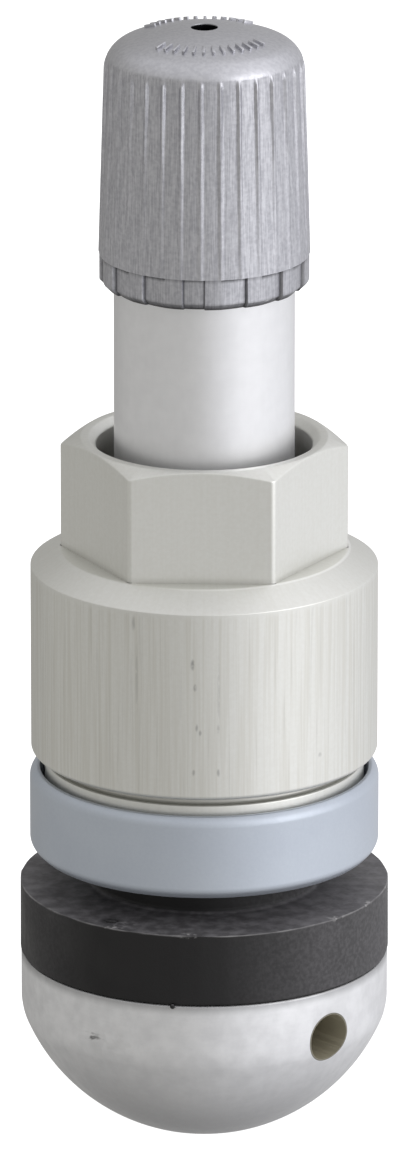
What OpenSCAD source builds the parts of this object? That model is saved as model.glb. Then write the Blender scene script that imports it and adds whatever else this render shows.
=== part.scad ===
// Clamp-in tyre valve with a ball head.
// The stem stands on its foot at the origin and rises along +Z.
// A plain cylinder stands at the root of every outer thread and at the crest line of every inner one.

/* [Ball head] */
// Diameter of the ball
ball_d = 18.7; // [17.9:0.02:20]
// Diameter of the flat foot under the ball
foot_d = 7; // [4.6:0.1:8]
// Diameter of the turned band round the ball
head_d = 17.66; // [16.8:0.02:17.9]
// Height of the head from foot to rubber seat
head_h = 8.4; // [7.6:0.1:9.4]
// Diameter of the cross hole that lets air in and takes a holding pin
cross_hole_d = 2.3; // [1.8:0.05:2.8]
// Height of the cross hole above the foot
cross_hole_z = 6; // [5.2:0.05:6.6]
// Direction of the cross hole about the axis, in degrees
cross_hole_turn = -47.1; // [-90:0.1:90]
// Core diameter of the tapped hole for the sensor screw
screw_hole_d = 3.3; // [2.5:0.1:3.6]
// Depth of the tapped hole
screw_hole_depth = 5.2; // [4.4:0.1:5.8]
// Chamfer at the mouth of the tapped hole
screw_hole_chamfer = 0.3; // [0.1:0.05:0.4]

/* [Stem] */
// Diameter of the shank that carries the rubber
shank_d = 9.4; // [8.9:0.1:10]
// Length of the shank above the head
shank_l = 7; // [6.8:0.1:8.5]
// Root diameter of the thread that takes the collar nut
nut_thread_root_d = 8.84; // [8.7:0.02:9.2]
// Length of the thread that takes the collar nut
nut_thread_l = 11.1; // [9:0.1:14]
// Diameter of the plain shaft above that thread
shaft_d = 8.62; // [8:0.02:8.7]
// Length of the plain shaft
shaft_l = 15.7; // [12:0.1:22]
// Root diameter of the mouth thread
mouth_root_d = 6.84; // [6.5:0.02:7]
// Length of the mouth above the shaft
mouth_l = 9.8; // [9:0.1:12]
// Chamfer at the end of the mouth thread
mouth_chamfer = 0.3; // [0.1:0.05:0.4]
// Diameter of the air passage along the axis
passage_d = 2.2; // [1.6:0.1:2.6]

/* [Rubber grommet] */
// Overhang of the flange past the turned band of the head
flange_overhang = 0.05; // [0:0.01:0.6]
// Height of the flange
flange_h = 3.53; // [2.8:0.01:4.4]
// Rounding of the lower edge of the flange
flange_round = 0.4; // [0.1:0.05:0.8]
// Diameter of the neck that passes through the rim
neck_d = 11; // [10.4:0.1:11.4]
// Height of the neck above the flange
neck_h = 3.05; // [2.6:0.05:3.4]
// Chamfer round the top of the neck
neck_chamfer = 0.35; // [0.1:0.05:0.4]

/* [Spacer ring] */
// Gap left for the rim between flange and ring
rim_gap = 1.62; // [1.4:0.02:3]
// Outer diameter of the ring
ring_d = 16.77; // [16.2:0.01:18]
// Height of the ring
ring_h = 4.1; // [3.4:0.1:4.6]
// Thickness of the floor of the ring
ring_floor = 1.63; // [1.2:0.01:2]
// Thickness of the wall of the cup
ring_wall = 0.48; // [0.42:0.01:0.6]
// Bevel round the bottom of the ring
ring_bevel = 0.38; // [0.1:0.02:0.6]
// Chamfer round the outer top edge of the ring
ring_edge = 0.3; // [0.05:0.01:0.3]
// Depth of the groove inside the cup that keeps the ring on the nut
ring_groove = 0.14; // [0.1:0.01:0.2]

/* [Collar nut] */
// Length of the lip that reaches into the ring
lip_h = 3.19; // [2.9:0.01:3.9]
// Diameter of the groove under the collar
neck_groove_d = 14.7; // [13.5:0.1:15]
// Height of the groove under the collar
neck_groove_h = 0.46; // [0.3:0.02:0.7]
// Diameter of the collar
collar_d = 16.64; // [15.9:0.02:18]
// Height of the collar
collar_h = 9.25; // [7:0.05:12]
// Rounding chamfer at the bottom of the collar
collar_edge = 0.16; // [0.05:0.01:0.3]
// Height of the conical shoulder under the hexagon
shoulder_h = 0.84; // [0.4:0.02:1.4]
// Width of the hexagon across its flats
hex_af = 11.95; // [11.6:0.05:13]
// Height of the hexagon
hex_h = 5.49; // [4.6:0.01:8]
// Height of the chamfer on the corners of the hexagon
hex_chamfer = 0.44; // [0.2:0.02:0.7]
// Distance that the chamfer reaches in over the flats
hex_inset = 0.05; // [0.02:0.01:0.1]
// Width of the land round the foot of the hexagon
hex_land = 0.04; // [0.02:0.01:0.3]
// Turn of the hexagon about the axis, in degrees
hex_turn = -1.4; // [-30:0.1:30]
// Diameter of the counterbore at the top of the nut
counterbore_d = 10.34; // [10.2:0.02:10.6]
// Depth of the counterbore
counterbore_depth = 4.5; // [3.2:0.1:6]
// Chamfer at the mouth of the counterbore
counterbore_chamfer = 0.33; // [0.1:0.01:0.4]
// Bore of the nut along its thread
nut_bore_d = 10.1; // [9.9:0.02:10.2]
// Height of the relief at the bottom of the nut
relief_h = 4.85; // [4:0.05:6]

/* [Cap] */
// Height of the cap
cap_h = 12.57; // [12:0.01:14]
// Thickness of the skirt round its bore
skirt_wall = 0.54; // [0.42:0.02:0.8]
// Height of the skirt
skirt_h = 1.54; // [1:0.02:2]
// Chamfer round the bottom of the skirt
skirt_chamfer = 0.3; // [0.1:0.02:0.3]
// Step from the skirt out to the body above it
body_lip = 0.045; // [0.01:0.005:0.15]
// Draft of the body, from its base in to its rounded corner
body_draft = 0.265; // [0.1:0.005:0.4]
// Radius of the rounded corner
corner_r = 1.5; // [1:0.1:2]
// Radius of the domed top
dome_r = 11; // [7.5:0.1:14]
// Number of ribs round the cap
rib_n = 32; // [24:2:40]
// Turn of the ribs past the moulding plane, in degrees
rib_turn = 4.05; // [0:0.05:11.25]
// Width of a rib
rib_w = 0.2; // [0.14:0.02:0.4]
// Depth of the flutes at the rounded corner
flute_top_depth = 0.12; // [0.06:0.01:0.2]
// Depth of the flutes at the skirt
flute_base_depth = 0.03; // [0.01:0.005:0.12]
// Angle from the moulding plane to the first wall of the skirt, in degrees
first_wall = 6; // [3:0.5:7]
// Angle from one skirt wall to the next, in degrees
wall_pitch = 24; // [20:0.5:25]
// Angle that a lug between two skirt pockets takes, in degrees
lug_angle = 9.5; // [6:0.5:12]
// Depth of a skirt pocket at its wall
pocket_depth = 0.16; // [0.08:0.01:0.22]
// Turn of the cap about the axis, in degrees
cap_turn = -6.1; // [-90:0.1:90]
// Bore of the cap along its thread
cap_bore_d = 7.96; // [7.8:0.02:8.1]
// Bore of the cap at the skirt
skirt_bore_d = 8.9; // [8.84:0.02:9.1]
// Least depth of the bore at the skirt
skirt_bore_depth = 1; // [0.6:0.1:1.4]
// Thickness of the roof of the cap at its middle
roof_t = 1.42; // [1.3:0.01:2.2]
// Diameter of the gate mark on top of the cap
gate_d = 1.3; // [0.7:0.1:1.6]
// Depth of the gate mark
gate_depth = 0.4; // [0.1:0.02:0.6]
// Diameter of the sealing disc in the cap
seal_d = 7.4; // [6.8:0.1:7.7]
// Thickness of the sealing disc
seal_t = 0.85; // [0.6:0.05:1.2]

/* [Valve core] */
// Bore of the core thread in the mouth
core_bore_d = 5.24; // [5:0.02:5.4]
// Depth of the core thread below the mouth
core_bore_depth = 6.4; // [5.8:0.1:7]
// Distance from the mouth down to the top of the plug
plug_sink = 1; // [0.6:0.05:1.4]
// Height of the bridge of the plug
bridge_h = 2; // [1.7:0.1:2.4]
// Diameter of the bridge
bridge_d = 4; // [3.6:0.1:4.6]
// Width of the bridge across its flats
bridge_w = 3.2; // [2.8:0.1:3.5]
// Diameter of the well in the bridge
well_d = 2.4; // [2.2:0.05:2.6]
// Height of the threaded part of the plug
plug_h = 3; // [2.4:0.1:3.3]
// Diameter of the joint between plug and barrel
spigot_d = 2.6; // [2.3:0.05:2.8]
// Length of the joint between plug and barrel
spigot_l = 1; // [0.7:0.05:1.3]
// Diameter of the barrel
barrel_d = 3.44; // [3.3:0.02:3.5]
// Length of the barrel below the plug
barrel_l = 7.8; // [7:0.1:9]
// Bore of the barrel that holds the spring
spring_bore_d = 2.5; // [2.4:0.02:2.6]
// Thickness of the roof and floor of the barrel
barrel_end = 1; // [0.7:0.05:1.3]
// Bore that the pin passes through in plug and barrel
pin_bore_d = 1.5; // [1.3:0.05:1.7]
// Height of the sealing edge under the barrel
seat_edge_h = 0.2; // [0.1:0.02:0.3]
// Length of the tapered gasket
gasket_l = 1.8; // [1.4:0.1:2.2]
// Diameter of the gasket at its top
gasket_top_d = 4.3; // [4.1:0.02:4.5]
// Diameter of the gasket at its bottom
gasket_base_d = 3.7; // [3.6:0.02:3.8]
// Depth of the gasket groove in the barrel
gasket_groove = 0.24; // [0.15:0.01:0.3]
// Distance from the plug down to the gasket
gasket_drop = 0.8; // [0.6:0.05:1.1]
// Diameter of the pin
pin_d = 0.9; // [0.7:0.02:1]
// Diameter of the button on the pin
button_d = 1.9; // [1.6:0.05:2]
// Height of the button
button_h = 0.5; // [0.3:0.02:0.6]
// Height of the button above the plug
button_rise = 0.4; // [0.2:0.05:0.5]
// Diameter of the collar on the pin that the spring pushes
pin_collar_d = 1.8; // [1.6:0.05:2]
// Height of the collar on the pin
pin_collar_h = 0.4; // [0.3:0.02:0.6]
// Length of the spring
spring_l = 4.7; // [4:0.05:5]
// Diameter of the spring wire
spring_wire_d = 0.26; // [0.2:0.01:0.3]
// Number of turns of the spring
spring_turns = 7; // [5:1:9]
// Diameter of the plunger cup
cup_d = 2.9; // [2.7:0.02:3]
// Height of the plunger cup
cup_h = 1.7; // [1.4:0.05:2]
// Wall and floor thickness of the plunger cup
cup_wall = 0.22; // [0.15:0.01:0.3]
// Height that the plunger seal stands above its cup
cup_seal_rise = 0.08; // [0.04:0.01:0.12]
// Length of the riveted end of the pin below the cup
rivet_l = 0.5; // [0.3:0.05:0.7]
// Travel of the pin when it is pressed
pin_travel = 1.2; // [0.8:0.05:1.4]

/* [Fits] */
// Clearance of rubber stretched over the stem
rubber_fit = 0.03; // [0.02:0.01:0.05]
// Clearance between ring and neck, and between nut and neck
neck_play = 0.25; // [0.2:0.01:0.3]
// Radial play of the ring on the lip of the nut
ring_play = 0.24; // [0.18:0.01:0.28]
// Axial play of the lip in the ring
lip_play = 0.15; // [0.1:0.01:0.25]
// Axial gap between the mouth and the sealing disc
seal_gap = 0.05; // [0.02:0.01:0.1]
// Distance from the end of the shaft to the step in the cap
step_gap = 0.9; // [0.7:0.05:1.1]
// Fit of the core pieces in one another
core_fit = 0.05; // [0.03:0.01:0.08]
// Room left under the pressed pin
pin_room = 0.7; // [0.4:0.05:1]

/* [Hidden] */

$fn = 128;
// Overshoot of a cut past the face it opens
eps = 0.05;
// Distance that a cut reaches out past the cap
cut_reach = 2;
// Sides of the spring wire and steps in one turn of the spring
wire_sides = 8;
steps_per_turn = 20;

// Heights of the stem, from the foot up
ball_z = sqrt(pow(ball_d / 2, 2) - pow(foot_d / 2, 2));
thread_z = head_h + shank_l;
shaft_z = thread_z + nut_thread_l;
shoulder_z = shaft_z + shaft_l;
mouth_z = shoulder_z + mouth_l;

// Heights of the clamped pieces
flange_top_z = head_h + rubber_fit + flange_h;
ring_z = flange_top_z + rim_gap;
cup_floor_z = ring_z + ring_floor;
nut_z = cup_floor_z + lip_play;
collar_z = nut_z + lip_h;
shoulder_base_z = collar_z + collar_h;
hex_z = shoulder_base_z + shoulder_h;
nut_top_z = hex_z + hex_h;
hex_corner_r = hex_af / sqrt(3);
neck_hole_d = neck_d + 2 * neck_play;
cup_r = ring_d / 2 - ring_wall;
lip_r = cup_r - ring_play;
groove_top_z = ring_z + ring_h - ring_edge - ring_groove;
bead_r = lip_r + ring_groove;
bead_h = (ring_h - ring_floor) / 4;
bead_z = (cup_floor_z + groove_top_z - bead_h) / 2;

// Diameters of the cap, from its skirt bore outwards
skirt_d = skirt_bore_d + 2 * skirt_wall;
body_base_d = skirt_d + 2 * body_lip;
body_top_d = body_base_d - 2 * body_draft;

// Heights of the cap
seal_z = mouth_z + seal_gap;
roof_z = seal_z + seal_t;
cap_top_z = roof_z + roof_t;
cap_z = cap_top_z - cap_h;
body_z = cap_z + skirt_h;
dome_z = cap_top_z - dome_r;
corner_x = body_top_d / 2 - corner_r;
corner_z = dome_z + sqrt(pow(dome_r - corner_r, 2) - pow(corner_x, 2));
tangent_x = corner_x * dome_r / (dome_r - corner_r);
skirt_bore_h = max(skirt_bore_depth, shoulder_z + step_gap - cap_z);

// Heights of the valve core, from the mouth down
plug_top_z = mouth_z - plug_sink;
bridge_z = plug_top_z - bridge_h;
plug_z = bridge_z - plug_h;
barrel_z = plug_z - core_fit - barrel_l;
barrel_top_z = barrel_z + barrel_l;
spring_z = barrel_z + barrel_end;
collar_pin_z = spring_z + spring_l;
spring_room_z = barrel_top_z - barrel_end;
gasket_top_z = barrel_top_z - gasket_drop;
gasket_z = gasket_top_z - gasket_l;
seat_z = barrel_z - seat_edge_h;
cup_top_z = seat_z - core_fit - cup_seal_rise;
cup_z = cup_top_z - cup_h;
pin_z = cup_z - rivet_l;
pin_top_z = plug_top_z + button_rise;
chamber_z = pin_z - pin_travel - pin_room;
lower_bore_d = gasket_base_d + 2 * core_fit;

// Copies a shape round the axis
module around(n) {
    for (i = [0:n - 1]) rotate(i * 360 / n) children();
}

// A turned piece from the corners of its half section
module turned(points) {
    rotate_extrude() polygon(points);
}

// A plain tube
module tube(outer_d, inner_d, h) {
    difference() {
        cylinder(d = outer_d, h = h);
        translate([0, 0, -eps]) cylinder(d = inner_d, h = h + 2 * eps);
    }
}

// Ball with a turned band, cut flat at the foot and at the rubber seat
module ball_head() {
    intersection() {
        translate([0, 0, ball_z]) sphere(d = ball_d);
        cylinder(d = head_d, h = head_h);
    }
}

// Shank, nut thread, shaft and mouth, one step above the other
module stem_shaft() {
    turned([
        [0, cross_hole_z], [shank_d / 2, cross_hole_z],
        [shank_d / 2, thread_z], [nut_thread_root_d / 2, thread_z],
        [nut_thread_root_d / 2, shaft_z], [shaft_d / 2, shaft_z],
        [shaft_d / 2, shoulder_z - mouth_chamfer], [shaft_d / 2 - mouth_chamfer, shoulder_z],
        [mouth_root_d / 2, shoulder_z], [mouth_root_d / 2, mouth_z - mouth_chamfer],
        [mouth_root_d / 2 - mouth_chamfer, mouth_z], [0, mouth_z]
    ]);
}

// Chamber of the valve core: lower bore, tapered seat for the gasket, threaded mouth
module core_chamber() {
    core_r = core_bore_d / 2;
    lower_r = lower_bore_d / 2;
    seat_r = gasket_top_d / 2 + core_fit;
    core_z = mouth_z - core_bore_depth;
    turned([
        [0, chamber_z - (lower_r - passage_d / 2)], [passage_d / 2, chamber_z - (lower_r - passage_d / 2)],
        [lower_r, chamber_z], [lower_r, gasket_z], [seat_r, gasket_top_z], [core_r, core_z],
        [core_r, mouth_z - mouth_chamfer], [core_r + mouth_chamfer, mouth_z], [core_r + mouth_chamfer, mouth_z + eps],
        [0, mouth_z + eps]
    ]);
}

// Tapped hole, cross hole and air passage in the head
module head_holes() {
    translate([0, 0, -eps]) cylinder(d = screw_hole_d, h = screw_hole_depth + eps);
    cylinder(d1 = screw_hole_d + 2 * screw_hole_chamfer, d2 = screw_hole_d, h = screw_hole_chamfer);
    translate([0, 0, screw_hole_depth - eps]) cylinder(d = passage_d, h = chamber_z - screw_hole_depth);
    translate([0, 0, cross_hole_z]) rotate([0, 90, cross_hole_turn])
        cylinder(d = cross_hole_d, h = ball_d, center = true);
}

module valve_stem() {
    color("gainsboro") difference() {
        union() {
            ball_head();
            stem_shaft();
        }
        core_chamber();
        head_holes();
    }
}

// Flange with a rounded lower edge, and the neck above it
module rubber_grommet() {
    flange_r = head_d / 2 + flange_overhang;
    base_z = head_h + rubber_fit;
    color("#2a2829") difference() {
        union() {
            rotate_extrude() union() {
                translate([0, base_z]) square([flange_r - flange_round, flange_h]);
                translate([0, base_z + flange_round]) square([flange_r, flange_h - flange_round]);
                translate([flange_r - flange_round, base_z + flange_round]) circle(r = flange_round);
            }
            turned([
                [0, base_z + flange_round], [neck_d / 2, base_z + flange_round],
                [neck_d / 2, flange_top_z + neck_h - neck_chamfer],
                [neck_d / 2 - neck_chamfer, flange_top_z + neck_h], [0, flange_top_z + neck_h]
            ]);
        }
        translate([0, 0, base_z - eps])
            cylinder(d = shank_d + 2 * rubber_fit, h = flange_h + neck_h + 2 * eps);
    }
}

// Cup that takes the lip of the nut, with a groove for the bead of the lip
module spacer_ring() {
    ring_r = ring_d / 2;
    top_z = ring_z + ring_h;
    groove_r = cup_r + ring_groove;
    groove_z = bead_z - lip_play;
    color("#9aa3ad") turned([
        [neck_hole_d / 2, ring_z], [ring_r - ring_bevel, ring_z], [ring_r, ring_z + ring_bevel],
        [ring_r, top_z - ring_edge], [ring_r - ring_edge, top_z], [cup_r, top_z],
        [cup_r, groove_z + bead_h + 2 * lip_play + ring_groove], [groove_r, groove_z + bead_h + 2 * lip_play],
        [groove_r, groove_z], [cup_r, groove_z - ring_groove],
        [cup_r, cup_floor_z], [neck_hole_d / 2, cup_floor_z]
    ]);
}

// Lip with its bead, groove, collar and conical shoulder
module nut_body() {
    collar_r = collar_d / 2;
    turned([
        [0, nut_z], [lip_r, nut_z], [lip_r, bead_z - ring_groove], [bead_r, bead_z],
        [bead_r, bead_z + bead_h], [lip_r, bead_z + bead_h + ring_groove],
        [lip_r, collar_z - neck_groove_h], [neck_groove_d / 2, collar_z - neck_groove_h],
        [neck_groove_d / 2, collar_z], [collar_r - collar_edge, collar_z], [collar_r, collar_z + collar_edge],
        [collar_r, shoulder_base_z], [hex_corner_r + hex_land, hex_z], [0, hex_z]
    ]);
}

// Hexagon with its corners chamfered at the top
module nut_hexagon() {
    low_z = hex_z - shoulder_h;
    top_r = hex_af / 2 - hex_inset;
    slope = hex_chamfer / (hex_corner_r - top_r);
    out_r = hex_corner_r + hex_chamfer;
    intersection() {
        rotate(hex_turn) translate([0, 0, low_z])
            cylinder(r = hex_corner_r, h = nut_top_z - low_z, $fn = 6);
        turned([
            [0, low_z - eps], [out_r, low_z - eps], [out_r, nut_top_z - (out_r - top_r) * slope],
            [top_r, nut_top_z], [0, nut_top_z]
        ]);
    }
}

module collar_nut() {
    counter_r = counterbore_d / 2;
    bore_r = nut_bore_d / 2;
    relief_r = neck_hole_d / 2;
    step_z = nut_top_z - counterbore_depth;
    relief_z = nut_z + relief_h;
    color("#bdbcb2") difference() {
        union() {
            nut_body();
            nut_hexagon();
        }
        turned([
            [0, nut_z - eps], [relief_r, nut_z - eps], [relief_r, relief_z], [bore_r, relief_z + relief_r - bore_r],
            [bore_r, step_z - (counter_r - bore_r)], [counter_r, step_z],
            [counter_r, nut_top_z - counterbore_chamfer], [counter_r + counterbore_chamfer, nut_top_z],
            [counter_r + counterbore_chamfer, nut_top_z + eps], [0, nut_top_z + eps]
        ]);
    }
}

// Outside of the cap above the skirt: cone, rounded corner and dome
module cap_outside() {
    rotate_extrude() union() {
        polygon([
            [0, body_z], [body_base_d / 2, body_z], [body_top_d / 2, corner_z], [0, corner_z]
        ]);
        intersection() {
            translate([corner_x, corner_z]) circle(r = corner_r);
            translate([corner_x, corner_z - corner_r]) square([corner_r, 2 * corner_r]);
        }
        intersection() {
            translate([0, dome_z]) circle(r = dome_r);
            translate([0, corner_z - eps]) square([tangent_x, cap_h]);
        }
    }
}

// Cone along the bottom of the flutes, with the ribs standing on it
module fluted_core() {
    rise = cap_top_z - body_z;
    low_r = body_base_d / 2 - flute_base_depth;
    high_r = body_top_d / 2 - flute_top_depth;
    top_r = low_r + (high_r - low_r) * rise / (corner_z - body_z);
    translate([0, 0, body_z]) cylinder(r1 = low_r, r2 = top_r, h = rise);
    around(rib_n) rotate(rib_turn) translate([corner_x, -rib_w / 2, body_z]) cube([cut_reach, rib_w, rise]);
}

// One pocket of the skirt: its floor goes from a depth at the low angle to a wall
// A floor that starts at the surface runs on past it by a share of its length, so that the two cross
module skirt_pocket(low_angle, wall_angle, low_depth, run_out) {
    r = skirt_d / 2;
    out_r = r + cut_reach;
    low = [(r - low_depth) * cos(low_angle), (r - low_depth) * sin(low_angle)];
    deep = [(r - pocket_depth) * cos(wall_angle), (r - pocket_depth) * sin(wall_angle)];
    translate([0, 0, cap_z - eps]) linear_extrude(skirt_h + eps) polygon([
        low + run_out * (low - deep),
        deep,
        [out_r * cos(wall_angle), out_r * sin(wall_angle)],
        [out_r * cos(low_angle), out_r * sin(low_angle)]
    ]);
}

// Pockets of one mould half: one level pocket in the middle, sloping ones on both sides
module half_pockets() {
    walls_per_side = 4;
    run_out = 0.2;
    skirt_pocket(-first_wall, first_wall, pocket_depth, 0);
    for (i = [1:walls_per_side - 1]) {
        wall = first_wall + i * wall_pitch;
        start = wall - wall_pitch + lug_angle;
        skirt_pocket(start, wall, 0, run_out);
        mirror([0, 1, 0]) skirt_pocket(start, wall, 0, run_out);
    }
}

// Skirt with its pockets
module cap_skirt() {
    difference() {
        turned([
            [0, cap_z], [skirt_d / 2 - skirt_chamfer, cap_z], [skirt_d / 2, cap_z + skirt_chamfer],
            [skirt_d / 2, body_z], [0, body_z]
        ]);
        around(2) half_pockets();
    }
}

// Cap turned so that its moulding plane faces the front
module valve_cap() {
    front = -90;
    color("#a9aaaf") difference() {
        rotate(front + cap_turn) union() {
            intersection() {
                cap_outside();
                fluted_core();
            }
            cap_skirt();
        }
        turned([
            [0, cap_z - eps], [skirt_bore_d / 2, cap_z - eps], [skirt_bore_d / 2, cap_z + skirt_bore_h],
            [cap_bore_d / 2, cap_z + skirt_bore_h + (skirt_bore_d - cap_bore_d) / 2], [cap_bore_d / 2, roof_z],
            [0, roof_z]
        ]);
        translate([0, 0, cap_top_z - gate_depth]) cylinder(d = gate_d, h = gate_depth + eps);
    }
}

module cap_seal() {
    color("#3a3a3c") translate([0, 0, seal_z]) cylinder(d = seal_d, h = seal_t);
}

// Threaded plug with a flat-sided bridge and a well for the button
module core_plug() {
    color("#c9a95c") difference() {
        union() {
            translate([0, 0, plug_z]) cylinder(d = core_bore_d - 2 * core_fit, h = plug_h);
            intersection() {
                translate([0, 0, bridge_z - eps]) cylinder(d = bridge_d, h = bridge_h + eps);
                translate([-bridge_d, -bridge_w / 2, bridge_z - eps]) cube([2 * bridge_d, bridge_w, bridge_h + eps]);
            }
        }
        translate([0, 0, bridge_z]) cylinder(d = well_d, h = bridge_h + eps);
        translate([0, 0, plug_z - eps]) cylinder(d = pin_bore_d, h = plug_h + 2 * eps);
        translate([0, 0, plug_z - eps]) cylinder(d = spigot_d + 2 * core_fit, h = spigot_l + core_fit + eps);
    }
}

// Barrel with a spigot on top, a groove for the gasket, a spring room and a sealing edge below
module core_barrel() {
    barrel_r = barrel_d / 2;
    edge_r = (spring_bore_d + pin_bore_d) / 4;
    color("#d2b46a") difference() {
        turned([
            [pin_bore_d / 2, seat_z], [edge_r, seat_z], [edge_r + seat_edge_h, barrel_z], [barrel_r, barrel_z],
            [barrel_r, gasket_z], [barrel_r - gasket_groove, gasket_z],
            [barrel_r - gasket_groove, gasket_top_z], [barrel_r, gasket_top_z],
            [barrel_r, barrel_top_z], [spigot_d / 2, barrel_top_z],
            [spigot_d / 2, plug_z + spigot_l], [pin_bore_d / 2, plug_z + spigot_l]
        ]);
        translate([0, 0, spring_z]) cylinder(d = spring_bore_d, h = spring_room_z - spring_z);
    }
}

module core_gasket() {
    inner_r = barrel_d / 2 - gasket_groove + core_fit / 2;
    color("#3c2f2a") turned([
        [inner_r, gasket_z + core_fit], [gasket_base_d / 2, gasket_z + core_fit],
        [gasket_top_d / 2, gasket_top_z - core_fit], [inner_r, gasket_top_z - core_fit]
    ]);
}

// Height of the centre line of the spring after a number of turns; the end turns lie close
function spring_lift(turn) =
    let (
        open_turns = spring_turns - 2,
        end_rise = spring_wire_d + core_fit,
        open_rise = (spring_l - 2 * core_fit - spring_wire_d - 2 * end_rise) / open_turns,
        open_turn = min(max(turn - 1, 0), open_turns),
        end_turn = turn - open_turn
    )
    open_rise * open_turn + end_rise * end_turn;

// Point on the centre line of the spring
function spring_point(turn) =
    let (coil_r = (spring_bore_d + pin_d) / 4, low_z = spring_z + core_fit + spring_wire_d / 2)
    [coil_r * cos(360 * turn), coil_r * sin(360 * turn), low_z + spring_lift(turn)];

// Corners of the wire round one point of the centre line
function wire_ring(turn) =
    let (centre = spring_point(turn), wire_r = spring_wire_d / 2)
    [for (k = [0:wire_sides - 1])
        let (a = 360 * k / wire_sides, out = wire_r * cos(a), up = wire_r * sin(a))
        [centre[0] + out * cos(360 * turn), centre[1] + out * sin(360 * turn), centre[2] + up]];

module core_spring() {
    steps = spring_turns * steps_per_turn;
    points = [for (i = [0:steps]) each wire_ring(i / steps_per_turn)];
    sides = [for (i = [0:steps - 1], k = [0:wire_sides - 1])
        let (a = i * wire_sides + k, b = i * wire_sides + (k + 1) % wire_sides)
        [b, a, a + wire_sides, b + wire_sides]];
    first = [for (k = [0:wire_sides - 1]) k];
    last = [for (k = [wire_sides - 1:-1:0]) steps * wire_sides + k];
    color("silver") polyhedron(points, concat(sides, [first, last]), convexity = 10);
}

// Pin with its button, the collar that the spring pushes and the riveted end
module core_pin() {
    pin_r = pin_d / 2;
    button_z = pin_top_z - button_h;
    color("#d8c27e") turned([
        [0, pin_z], [pin_r, pin_z], [pin_r, collar_pin_z], [pin_collar_d / 2, collar_pin_z],
        [pin_collar_d / 2, collar_pin_z + pin_collar_h], [pin_r, collar_pin_z + pin_collar_h],
        [pin_r, button_z], [button_d / 2, button_z], [button_d / 2, pin_top_z], [0, pin_top_z]
    ]);
}

// Cup on the end of the pin that holds the plunger seal
module plunger_cup() {
    color("#cbb06a") difference() {
        translate([0, 0, cup_z]) cylinder(d = cup_d, h = cup_h);
        translate([0, 0, cup_z + cup_wall]) cylinder(d = cup_d - 2 * cup_wall, h = cup_h);
        translate([0, 0, cup_z - eps]) cylinder(d = pin_d + core_fit, h = cup_h);
    }
}

module plunger_seal() {
    low_z = cup_z + cup_wall + core_fit / 2;
    color("#1f1f20") translate([0, 0, low_z])
        tube(cup_d - 2 * cup_wall - core_fit, pin_d + core_fit, cup_top_z + cup_seal_rise - low_z);
}

valve_stem();
rubber_grommet();
spacer_ring();
collar_nut();
valve_cap();
cap_seal();
core_plug();
core_barrel();
core_gasket();
core_spring();
core_pin();
plunger_cup();
plunger_seal();
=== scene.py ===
"""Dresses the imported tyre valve: turned, moulded and threaded pieces, finishes, light and a camera."""
import logging
import math
from dataclasses import dataclass
from enum import Enum
from typing import Callable, Sequence

import bmesh
import bpy
from mathutils import Matrix, Vector, noise


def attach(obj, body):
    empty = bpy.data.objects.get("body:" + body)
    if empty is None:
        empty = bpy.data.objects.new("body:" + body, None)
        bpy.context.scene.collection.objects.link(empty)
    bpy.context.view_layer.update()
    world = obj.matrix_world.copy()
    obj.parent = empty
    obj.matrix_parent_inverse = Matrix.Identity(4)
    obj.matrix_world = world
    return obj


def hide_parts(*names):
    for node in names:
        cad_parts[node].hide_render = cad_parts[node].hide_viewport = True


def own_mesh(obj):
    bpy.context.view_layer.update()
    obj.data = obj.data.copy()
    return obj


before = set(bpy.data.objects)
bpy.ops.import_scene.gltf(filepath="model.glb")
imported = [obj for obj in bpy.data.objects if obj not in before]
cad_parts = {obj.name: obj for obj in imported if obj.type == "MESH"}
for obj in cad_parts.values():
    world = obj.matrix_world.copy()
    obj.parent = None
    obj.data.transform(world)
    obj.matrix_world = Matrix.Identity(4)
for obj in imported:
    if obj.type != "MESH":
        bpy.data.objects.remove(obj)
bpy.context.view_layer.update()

MM = 0.001
FULL_TURN = 2 * math.pi
# Direction of the front of the valve about its axis
FRONT = -math.pi / 2
# Edges that turn by more than this stay sharp in the shading
SHARP_ANGLE = math.radians(38)
MERGE_DISTANCE = 1e-7
# A rounding that reaches further than this gets the larger number of steps
WIDE_SOFT = 0.3 * MM
SOFT_STEPS, WIDE_STEPS = 4, 9
# Vertex layers: the corner that a vertex comes from, and the share of painted shade it gets in a recess
ROW, RECESS = "row", "recess"
# Turn of one side of the hexagon
HEX_SIDE = math.radians(60)
# Vector operations whose result is a number
NUMBER_RESULTS = ("LENGTH", "DOT_PRODUCT")
# Factor that leaves the height out of a place
FLAT = (1.0, 1.0, 0.0)
# Sockets of a colour mix: its share and both colours, and its result
MIX_COLOUR_INPUTS, MIX_COLOUR_OUTPUT = (0, 6, 7), 2
# Noise scales of marks that run up the piece, of marks that run round it, and of marks on the rubber
UPRIGHT_GRAIN, LEVEL_GRAIN = (7000.0, 7000.0, 2600.0), (1100.0, 1100.0, 7000.0)
RUBBER_MARK_GRAIN = (3000.0, 3000.0, 3000.0)
WHITE = (1.0, 1.0, 1.0, 1.0)

log = logging.getLogger("tyre_valve")
Colour = tuple[float, float, float, float]
Point = tuple[float, float, float]
Span = tuple[float, float]
Socket = bpy.types.NodeSocket
Maker = Callable[[], bpy.types.NodeTree]


class Body(Enum):
    """Bodies of the frame that the pieces ride on."""

    STEM = "stem"
    RING = "ring"
    NUT = "nut"
    CAP = "cap"


class Slot(Enum):
    """Material slots of the record, named in each call that makes a new piece."""

    STEM_METAL = "stem_metal"
    RUBBER = "rubber"
    RING_PLASTIC = "ring_plastic"
    NUT_METAL = "nut_metal"
    CAP_PLASTIC = "cap_plastic"
    SPRING_STEEL = "spring_steel"


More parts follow.
